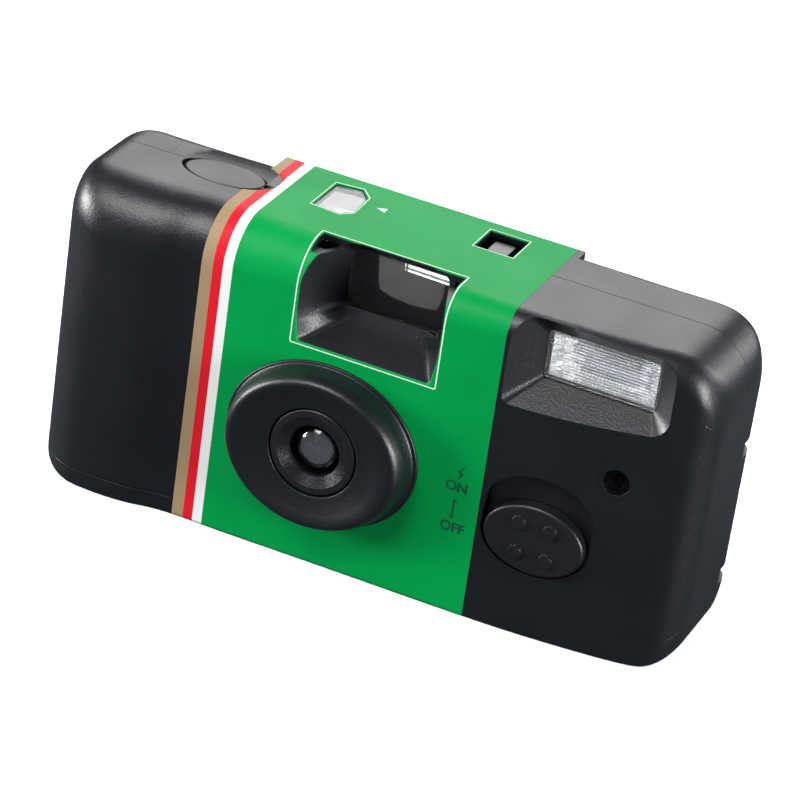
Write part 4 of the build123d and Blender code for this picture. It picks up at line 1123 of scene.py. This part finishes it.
@dataclass
class Wrap(Assembly):
    """The printed label with its generic marks.

    Attributes:
        face_y, lift: y of the label's front, and how far the marks stand off it.
        top_z, top_lift: z of its top, and how far the marks stand off that.
        on_place, off_place: x and z of the words' middles.
        letter_size, letter_weight: their height, and how far their outlines are moved out.
        bolt_place, bolt: x and z of the bolt's middle, and its outlines about it.
        arrow_place, arrow_height: x and z of the arrow's middle, and its height.
        arrow_thin, arrow_barb: half its thickness, and the reach of its barbs.
        triangle_place, triangle_size, triangle: x and y of the pointer, its size and its shape.
        window_line: how wide the lines round the top windows are at their corners.
        counter_points, ready_points: x and y of the corners of these windows.
    """

    face_y: float = -12.0
    lift: float = 0.03
    top_z: float = 54.0
    top_lift: float = 0.003
    on_place: Pair = (17.7, 22.4)
    off_place: Pair = (17.95, 15.2)
    letter_size: float = 2.35
    letter_weight: float = 0.07
    bolt_place: Pair = (18.0, 24.9)
    bolt: tuple[tuple[Pair, ...], ...] = (
        ((0.75, 1.6), (-0.55, 0.1), (0.25, 0.1), (0.1, 0.45)),
        ((-0.25, 0.1), (0.65, 0.1), (-0.6, -1.6), (0.0, -0.35)))
    arrow_place: Pair = (17.65, 18.5)
    arrow_height: float = 3.4
    arrow_thin: float = 0.14
    arrow_barb: float = 0.75
    triangle_place: Pair = (-8.9, 8.4)
    triangle_size: float = 1.1
    triangle: tuple[Pair, ...] = ((-1.0, 0.0), (0.5, -0.7), (0.5, 0.7))
    window_line: float = 0.2
    counter_points: tuple[Pair, ...] = (
        (-18.9, 3.2), (-18.9, 12.4), (-14.4, 13.0), (-12.5, 10.6), (-12.2, 4.6), (-13.9, 2.8))
    ready_points: tuple[Pair, ...] = ((7.8, 6.4), (14.4, 6.4), (14.4, 13.2), (7.8, 13.2))

    def build(self, model: Model) -> None:
        """See the base class; the marks lie just off the wrap."""
        self.wrap = model.smooth_copy("label", "label_wrap")
        bolt = [np.array(outline) for outline in self.bolt]
        self.dark = [
            self._letters(model, "switch_mark_on", "ON", self.on_place),
            self._letters(model, "switch_mark_off", "OFF", self.off_place),
            self._front_mark(model, "switch_mark_flash", bolt, self.bolt_place),
            self._front_mark(model, "switch_mark_arrow", self._arrow(), self.arrow_place)]
        pointer = np.array(self.triangle_place) + self.triangle_size * np.array(self.triangle)
        self.pale = [
            model.mesh_piece("counter_pointer_mark", self._on_top(pointer), [(0, 1, 2)], "label"),
            self._window_line(model, "counter_window_line", np.array(self.counter_points)),
            self._window_line(model, "ready_window_line", np.array(self.ready_points))]

    def dress(self, shop: Shop) -> None:
        """See the base class."""
        shop.put(self.wrap, LABEL)
        for finish, pieces in ((INK_DARK, self.dark), (INK_PALE, self.pale)):
            for piece in pieces:
                shop.put(piece, finish)

    def _on_front(self, flat: np.ndarray, place: Pair) -> np.ndarray:
        """Args:
            flat: rows of x and z about a mark's middle.
            place: x and z of that middle.

        Returns:
            The mark's points, on the wrap's front.
        """
        depth = np.full(len(flat), self.face_y - self.lift)
        return np.stack([flat[:, 0] + place[0], depth, flat[:, 1] + place[1]], axis=-1)

    def _on_top(self, flat: np.ndarray) -> np.ndarray:
        """The points at rows of x and y on the wrap's top."""
        return np.column_stack([flat, np.full(len(flat), self.top_z + self.top_lift)])

    def _letters(self, model: Model, name: str, words: str, place: Pair) -> bpy.types.Object:
        """Args:
            model: the frame.
            name: the new piece's name.
            words: what it says.
            place: x and z of its middle.

        Returns:
            The letters as a mesh on the front.
        """
        flat, faces = flat_text(name, words, self.letter_size, self.letter_weight)
        return model.mesh_piece(name, self._on_front(flat, place), faces, "label")

    def _front_mark(self, model: Model, name: str, outlines: list[np.ndarray],
                    place: Pair) -> bpy.types.Object:
        """Args:
            model: the frame.
            name: the new piece's name.
            outlines: flat shapes, as rows of x and z about the mark's middle.
            place: x and z of that middle.

        Returns:
            The mark as a mesh on the front, with a face for each shape.
        """
        ends = np.cumsum([len(outline) for outline in outlines])
        faces = [range(end - len(outline), end) for end, outline in zip(ends, outlines)]
        points = self._on_front(np.concatenate(outlines), place)
        return model.mesh_piece(name, points, faces, "label")

    def _arrow(self) -> list[np.ndarray]:
        """The outlines of a thin arrow that points up and down, with half a head at each end.

        Returns:
            The shaft, the upper barb and the lower barb.
        """
        half, thin, barb = self.arrow_height / 2, self.arrow_thin, self.arrow_barb
        return [np.array([(-thin, -half), (thin, -half), (thin, half), (-thin, half)]),
                np.array([(-thin, half), (thin, half), (barb, half - barb), (barb - thin, half - barb)]),
                np.array([(thin, -half), (-thin, -half), (-barb, barb - half), (thin - barb, barb - half)])]

    def _window_line(self, model: Model, name: str, outline: np.ndarray) -> bpy.types.Object:
        """A flat line round a window: each corner is moved out from the window's middle, once for
        the line's inner edge and once more for its outer one.

        Args:
            model: the frame.
            name: the new piece's name.
            outline: the window's corners, x and y.

        Returns:
            The line as a mesh on the top.
        """
        middle = outline.mean(axis=0)
        out = (outline - middle) / np.linalg.norm(outline - middle, axis=1, keepdims=True)
        inner = outline + out * self.window_line
        outer = inner + out * self.window_line
        points = self._on_top(np.concatenate([inner, outer]))
        return model.mesh_piece(name, points, grid_faces(2, len(outline), True), "label")


@dataclass
class TakingLens(Assembly):
    """The lens and its stepped ring, turned about the optical axis.

    Attributes:
        ring_radius, ring_front, ring_back: the ring's radius, and y of its two sides.
        ring_bevel: the bevel at its front.
        ring_sharp_above, dome_sharp_above: angles in degrees above which edges stay sharp.
        rim_width: the width of the flat rim round the steps.
        bore, bore_lip: the radius of the ring's hole, and the width of the ledge round it.
        step_count, step_depth: how many steps there are, and how deep each is.
        dome_radius, dome_front, dome_back: the radius of the glass, and y of its front and back.
        dome_curve, dome_rows: the radius of its curve, and the points from its edge to its middle.
        axis_radius: the radius at which it closes.
        back_depth: how near its back the middle of a face lies that is part of it.
        turns: how many points go round.
    """

    ring_radius: float = 7.3
    ring_front: float = -15.6
    ring_back: float = -14.3
    ring_bevel: float = 0.15
    ring_sharp_above: float = 20.0
    rim_width: float = 1.0
    bore: float = 4.3
    bore_lip: float = 0.1
    step_count: int = 9
    step_depth: float = 0.085
    dome_radius: float = 4.2
    dome_front: float = -15.3
    dome_back: float = -13.0
    dome_curve: float = 5.2
    dome_rows: int = 40
    dome_sharp_above: float = 60.0
    axis_radius: float = 0.0001
    back_depth: float = 0.01
    turns: int = 128

    def build(self, model: Model) -> None:
        """See the base class."""
        self.ring = self._turned(
            model, "lens_ring_stepped", "lens_ring", self._ring_profile(), self.ring_sharp_above)
        self.glass = self._turned(
            model, "taking_lens_dome", "taking_lens", self._glass_profile(), self.dome_sharp_above)

    def dress(self, shop: Shop) -> None:
        """See the base class; the back of the glass gets a flat grey as painted shade, for the dim space
        behind it.
        """
        shop.put(self.ring, CONTROL)
        shop.put(self.glass, LENS_GLASS)
        # The back faces get the flat grey as painted shade.
        shop.put_second(self.glass, PAINTED_LENS_SHADE, lambda middle: middle.y > self.dome_back - self.back_depth)

    def _turned(self, model: Model, name: str, node: str, profile: np.ndarray,
                sharp_above: float) -> bpy.types.Object:
        """Args:
            model: the frame.
            name: the new piece's name.
            node: the CAD node that it stands for.
            profile: rows of radius and y.
            sharp_above: the angle in degrees above which edges stay sharp.

        Returns:
            The new piece.
        """
        points, faces = turned_surface(profile[:, :1], profile[:, 1], self.turns)
        return model.mesh_piece(name, points, faces, node, True, sharp_above)

    def _ring_profile(self) -> np.ndarray:
        """A flat rim, then steps that go in and back to the bore.

        Returns:
            Rows of radius and y of the ring.
        """
        flat = self.ring_radius - self.rim_width
        radius = np.linspace(flat, self.bore + self.bore_lip, self.step_count + 1)
        depth = self.ring_front + self.step_depth * np.arange(self.step_count + 1)
        steps = np.stack([np.repeat(radius, 2)[1:], np.repeat(depth, 2)[:-1]], axis=-1)
        rim = np.array([
            (self.bore, self.ring_back), (self.ring_radius, self.ring_back),
            (self.ring_radius, self.ring_front + self.ring_bevel),
            (self.ring_radius - self.ring_bevel, self.ring_front), (flat, self.ring_front)])
        return np.concatenate([rim, steps, [(self.bore, self.ring_back)]])

    def _glass_profile(self) -> np.ndarray:
        """The back is flat, and the front is y = front + curve - sqrt(curve^2 - r^2).

        Returns:
            Rows of radius and y of the glass, closed at its axis.
        """
        radius = np.linspace(self.dome_radius, self.axis_radius, self.dome_rows)
        front = self.dome_front + self.dome_curve - np.sqrt(self.dome_curve ** 2 - radius ** 2)
        back = np.array([(self.axis_radius, self.dome_back), (self.dome_radius, self.dome_back)])
        return np.concatenate([back, np.stack([radius, front], axis=-1)])


@dataclass
class FlashHead(Assembly):
    """The flash's reflector with its sloping ends, and the clear window in front of it.

    Attributes:
        left, right, low, high: the sides of the opening.
        front, depth: y of the opening, and how far back the trough goes.
        end_run: how long the slope at each end is.
        end_steps: the shares of it at which its facets meet.
        flange: the width of the flat edge round the opening.
        flute, flute_depth: the distance between flutes, and their depth.
        facet_depth: how far each second band stands forward on the ends.
        bands: how many bands there are up the opening.
        sharp_above: the angle in degrees above which edges stay sharp.
    """

    left: float = 27.5
    right: float = 45.0
    low: float = 43.5
    high: float = 50.6
    front: float = -5.9
    depth: float = 5.4
    end_run: float = 4.0
    end_steps: tuple[float, ...] = (0.0, 0.33, 0.67)
    flange: float = 0.5
    flute: float = 0.56
    flute_depth: float = 0.16
    facet_depth: float = 0.3
    bands: int = 12
    sharp_above: float = 4.0

    def build(self, model: Model) -> None:
        """See the base class."""
        self.reflector = self._trough(model)
        self.window = model.smooth_copy("flash_diffuser", "flash_window")

    def dress(self, shop: Shop) -> None:
        """See the base class; the flange round the reflector is dull."""
        shop.put(self.reflector, MIRROR)
        shop.put_second(self.reflector, INNER_BLACK_AND_SHADE, self._on_flange)
        shop.put(self.window, CLEAR)

    def _on_flange(self, middle: Vector) -> bool:
        """Whether a face with this middle, in millimetres, is part of the flange."""
        return not (self.left < middle.x < self.right and self.low < middle.z < self.high)

    def _trough(self, model: Model) -> bpy.types.Object:
        """The trough is y = front + depth * (1 - max(a^2, e)), where a runs from -1 to 1 up the
        opening and e rises from 0 to 1 over the last end_run at each end. Between the ends, flutes
        go up the trough, and on the ends the bands lie in turn forward and back. A flat flange
        goes round it.

        Args:
            model: the frame.

        Returns:
            The faceted reflector.
        """
        z_middle, z_half = (self.low + self.high) / 2, (self.high - self.low) / 2
        edge = 1 + self.flange / z_half
        up = np.concatenate([[-edge], np.linspace(-1, 1, self.bands + 1), [edge]])
        ends = np.array(self.end_steps) * self.end_run
        flutes = np.arange(self.left + self.end_run, self.right - self.end_run, self.flute / 2)
        across = np.concatenate([[self.left - self.flange], self.left + ends, flutes,
                                 self.right - ends[::-1], [self.right + self.flange]])
        half = (self.right - self.left) / 2
        ramp = np.clip((np.abs(across - self.left - half) - (half - self.end_run)) / self.end_run, 0, 1)
        deep = self.front + self.depth * (1 - np.clip(np.maximum(up[:, None] ** 2, ramp[None, :]), 0, 1))
        inside = (np.abs(up) < 1)[:, None]
        wave = np.where(ramp == 0, np.arange(len(across)) % 2 * self.flute_depth, 0.0)[None, :]
        turn = (np.arange(len(up)) % 2)[:, None] * (4 * ramp * (1 - ramp))[None, :] * self.facet_depth
        deep = deep + inside * (wave - turn)
        points = np.stack([
            np.broadcast_to(across, deep.shape), deep,
            np.broadcast_to((z_middle + up * z_half)[:, None], deep.shape)], axis=-1).reshape(-1, 3)
        faces = grid_faces(len(up), len(across), False)[:, ::-1]
        return model.mesh_piece(
            "flash_reflector_trough", points, faces, "flash_reflector", True, self.sharp_above)


@dataclass
class Finder(Assembly):
    """The viewfinder's hollow front lens and eyepiece, and the counter's window.

    Attributes:
        left, right, low, high: the sides of the front lens.
        front, thin: y of its flat front, and how thick it is in its middle.
        curve: the radius of its hollow back.
        rim_depth: how near a side the middle of a face lies that is part of its rim.
        columns, rows: how many points go across it and up it.
        sharp_above: the angle in degrees above which its edges stay sharp.
    """

    left: float = -8.6
    right: float = 8.4
    low: float = 42.0
    high: float = 52.3
    front: float = -3.1
    thin: float = 0.7
    curve: float = 30.0
    rim_depth: float = 0.01
    columns: int = 49
    rows: int = 33
    sharp_above: float = 40.0

    def build(self, model: Model) -> None:
        """See the base class."""
        self.clear = [
            self._hollow_lens(model),
            model.smooth_copy("eyepiece_lens", "eyepiece_glass"),
            model.smooth_copy("counter_window", "counter_window_pane")]

    def dress(self, shop: Shop) -> None:
        """See the base class; the front lens's rim is dull."""
        for piece in self.clear:
            shop.put(piece, CLEAR)
        shop.put_second(self.clear[0], INNER_BLACK_AND_SHADE, self._on_rim)

    def _on_rim(self, middle: Vector) -> bool:
        """Whether a face with this middle, in millimetres, is part of the front lens's rim."""
        return (min(middle.x - self.left, self.right - middle.x) < self.rim_depth
                or min(middle.z - self.low, self.high - middle.z) < self.rim_depth)

    def _hollow_lens(self, model: Model) -> bpy.types.Object:
        """A flat front and a hollow back: y = front + thin + curve - sqrt(curve^2 - r^2).

        Args:
            model: the frame.

        Returns:
            The lens as one closed mesh.
        """
        x = np.linspace(self.left, self.right, self.columns)
        z = np.linspace(self.low, self.high, self.rows)
        across, up = np.meshgrid(x, z)
        away = (across - x.mean()) ** 2 + (up - z.mean()) ** 2
        back = self.front + self.thin + self.curve - np.sqrt(self.curve ** 2 - away)
        front = np.full_like(back, self.front)
        points = np.concatenate(
            [np.stack([across, deep, up], axis=-1).reshape(-1, 3) for deep in (front, back)])
        quads = grid_faces(self.rows, self.columns, False)
        count = across.size
        number = np.arange(count).reshape(self.rows, self.columns)
        edge = np.concatenate([number[0], number[1:, -1], number[-1, -2::-1], number[-2:0:-1, 0]])
        following = np.roll(edge, -1)
        rim = np.stack([edge, edge + count, following + count, following], axis=-1)
        faces = np.concatenate([quads, quads[:, ::-1] + count, rim])
        return model.mesh_piece(
            "finder_hollow_lens", points, faces, "viewfinder_front_lens", True, self.sharp_above)


@dataclass
class Controls(Assembly):
    """The release button, the flash switch and the winding wheel.

    Attributes:
        pieces: each control's node, and the name of its copy.
    """

    pieces: tuple[tuple[str, str], ...] = (
        ("shutter_button", "shutter_button_cap"), ("flash_switch", "flash_switch_knob"),
        ("thumb_wheel", "thumb_wheel_knurled"))

    def build(self, model: Model) -> None:
        """See the base class."""
        self.made = [model.smooth_copy(node, name) for node, name in self.pieces]

    def dress(self, shop: Shop) -> None:
        """See the base class."""
        for piece in self.made:
            shop.put(piece, CONTROL)


@dataclass
class Counter(Assembly):
    """Plain numbers on the frame counter's dial.

    Attributes:
        centre: x and y of the dial's middle.
        top, lift: z of its face, and how far the numbers stand off it.
        ring, size: how far out the numbers lie, and their height.
        last, step: the last number, and the distance from one number to the next.
    """

    centre: Pair = (-15.4, 5.0)
    top: float = 50.4
    lift: float = 0.02
    ring: float = 4.1
    size: float = 1.5
    last: int = 27
    step: int = 3

    def build(self, model: Model) -> None:
        """See the base class."""
        self.numbers = [self._number(model, value) for value in range(0, self.last + 1, self.step)]

    def dress(self, shop: Shop) -> None:
        """See the base class."""
        for piece in self.numbers:
            shop.put(piece, INK_BLACK)

    def _number(self, model: Model, value: int) -> bpy.types.Object:
        """The text is moved out to the ring and turned clockwise by the number's share of the dial.

        Args:
            model: the frame.
            value: the number.

        Returns:
            The number as a mesh on the dial, its foot towards the dial's middle.
        """
        name = "counter_number_%02d" % value
        flat, faces = flat_text(name, str(value), self.size)
        angle = 2 * math.pi * value / (self.last + self.step)
        across, out = flat[:, 0], flat[:, 1] + self.ring
        points = np.stack([
            across * math.cos(angle) + out * math.sin(angle) + self.centre[0],
            out * math.cos(angle) - across * math.sin(angle) + self.centre[1],
            np.full(len(flat), self.top + self.lift)], axis=-1)
        return model.mesh_piece(name, points, faces, "counter_dial")


@dataclass(frozen=True)
class Lamp:
    """A soft square light: where it hangs and its side in metres, and its watts."""

    name: str
    place: Triple
    side: float
    power: float


@dataclass
class Studio:
    """A white sweep, soft lights and the fitted camera.

    Attributes:
        lens, sensor: the focal length and the sensor's width.
        nearest: the distance in metres from which the camera sees.
        spot: where it stands.
        right, down, ahead: its axes, each of length one.
        floor_half: half the floor's side, in metres.
        floor_colour: its colour to all but the camera.
        floor_glow: how strongly it glows to the camera near the middle.
        floor_white_from: the distances from the middle between which the glow rises to one.
        world_light: how strongly the world lights the object.
        lit_place: what the lamps look at, in metres.
        lamps: the soft lights.
    """

    lens: float = 182.36
    sensor: float = 36.0
    nearest: float = 0.01
    spot: Triple = (199.634, -528.886, 330.440)
    right: Triple = (0.9018181, 0.41202876, 0.13021681)
    down: Triple = (0.30244554, -0.38662782, -0.87123224)
    ahead: Triple = (-0.3086273, 0.8250765, -0.47328423)
    floor_half: float = 6.0
    floor_colour: Colour = (0.1, 0.105, 0.12)
    floor_glow: float = 0.45
    floor_white_from: Pair = (250.0, 900.0)
    world_light: float = 0.11
    lit_place: Triple = (0.0, 0.0, 0.02)
    lamps: tuple[Lamp, ...] = (
        Lamp("light_key", (-0.45, -0.75, 1.15), 0.7, 15.0),
        Lamp("light_back", (-0.35, 1.1, 0.8), 0.9, 9.0),
        Lamp("light_left", (-1.05, -0.3, 0.2), 0.4, 17.0),
        Lamp("light_right", (1.1, -0.25, 0.25), 0.4, 17.0),
        Lamp("light_rear", (0.9, 0.95, 0.5), 0.6, 9.0))

    def build(self) -> None:
        """Builds the floor, the world, the lights and the camera."""
        self._floor()
        self._world()
        for lamp in self.lamps:
            self._light(lamp)
        self._camera()

    def _light(self, lamp: Lamp) -> None:
        """Args:
            lamp: the light to hang, which looks at lit_place.
        """
        data = bpy.data.lights.new(lamp.name, "AREA")
        data.size = lamp.side
        data.energy = lamp.power
        aim = (Vector(self.lit_place) - Vector(lamp.place)).to_track_quat("-Z", "Y")
        add_object(lamp.name, data).matrix_world = Matrix.Translation(lamp.place) @ aim.to_matrix().to_4x4()

    def _floor(self) -> None:
        """The sweep: white to the camera and dim to all that it lights. Its glow grows with the
        distance from the middle, so that its far end is as white as the world.
        """
        half = self.floor_half
        mesh = bpy.data.meshes.new("studio_floor")
        corners = [(-half, -half, 0), (half, -half, 0), (half, half, 0), (-half, half, 0)]
        mesh.from_pydata(corners, [], [(0, 1, 2, 3)])
        floor = add_object("studio_floor", mesh)
        material = bpy.data.materials.new("studio_white")
        tree = Tree.emptied(material)
        seen = tree.seen()
        surface = tree.add("ShaderNodeBsdfDiffuse")
        tree.feed(surface.inputs["Color"], tree.blend(seen, self.floor_colour, WHITE))
        far = tree.ramp(tree.vector("LENGTH", tree.place()), *self.floor_white_from)
        glow = tree.add("ShaderNodeEmission")
        tree.fill(glow, {"Color": WHITE, "Strength": tree.math(
            "MULTIPLY", seen, tree.math("MULTIPLY_ADD", far, 1 - self.floor_glow, self.floor_glow))})
        both = tree.add("ShaderNodeAddShader")
        tree.feed(both.inputs[0], surface.outputs[0])
        tree.feed(both.inputs[1], glow.outputs[0])
        tree.feed(tree.add("ShaderNodeOutputMaterial").inputs["Surface"], both.outputs[0])
        mesh.materials.append(material)
        floor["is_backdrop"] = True

    def _world(self) -> None:
        """White to the camera and through clear pieces, dim grey to everything else."""
        world = bpy.data.worlds.new("studio_world")
        bpy.context.scene.world = world
        tree = Tree.emptied(world)
        back = tree.add("ShaderNodeBackground")
        tree.fill(back, {"Color": WHITE, "Strength": tree.math("MAXIMUM", tree.seen(), self.world_light)})
        tree.feed(tree.add("ShaderNodeOutputWorld").inputs["Surface"], back.outputs[0])

    def _camera(self) -> None:
        """The camera fitted to the photo, turned by its three axes."""
        data = bpy.data.cameras.new("photo_camera")
        data.lens = self.lens
        data.sensor_width = self.sensor
        data.clip_start = self.nearest
        turn = Matrix((Vector(self.right), -Vector(self.down), -Vector(self.ahead))).transposed().to_4x4()
        holder = add_object("photo_camera", data)
        holder.matrix_world = Matrix.Translation(Vector(self.spot) * MM) @ turn
        bpy.context.scene.camera = holder


def main() -> None:
    """Builds the scene, sub-assembly by sub-assembly."""
    logging.basicConfig(level=logging.INFO, format="%(message)s")
    model = Model()
    shop = Shop(EffectGroups())
    for finish, nodes in NODE_FINISHES.items():
        for node in nodes:
            shop.put(model.node(node), finish)
    for assembly in (Shell(), Wrap(), TakingLens(), FlashHead(), Finder(), Controls(), Counter()):
        LOG.info("sub-assembly %s", type(assembly).__name__)
        assembly.build(model)
        assembly.dress(shop)
    Studio().build()
    bpy.context.scene.view_settings.view_transform = "Standard"


if __name__ == "__main__":
    main()
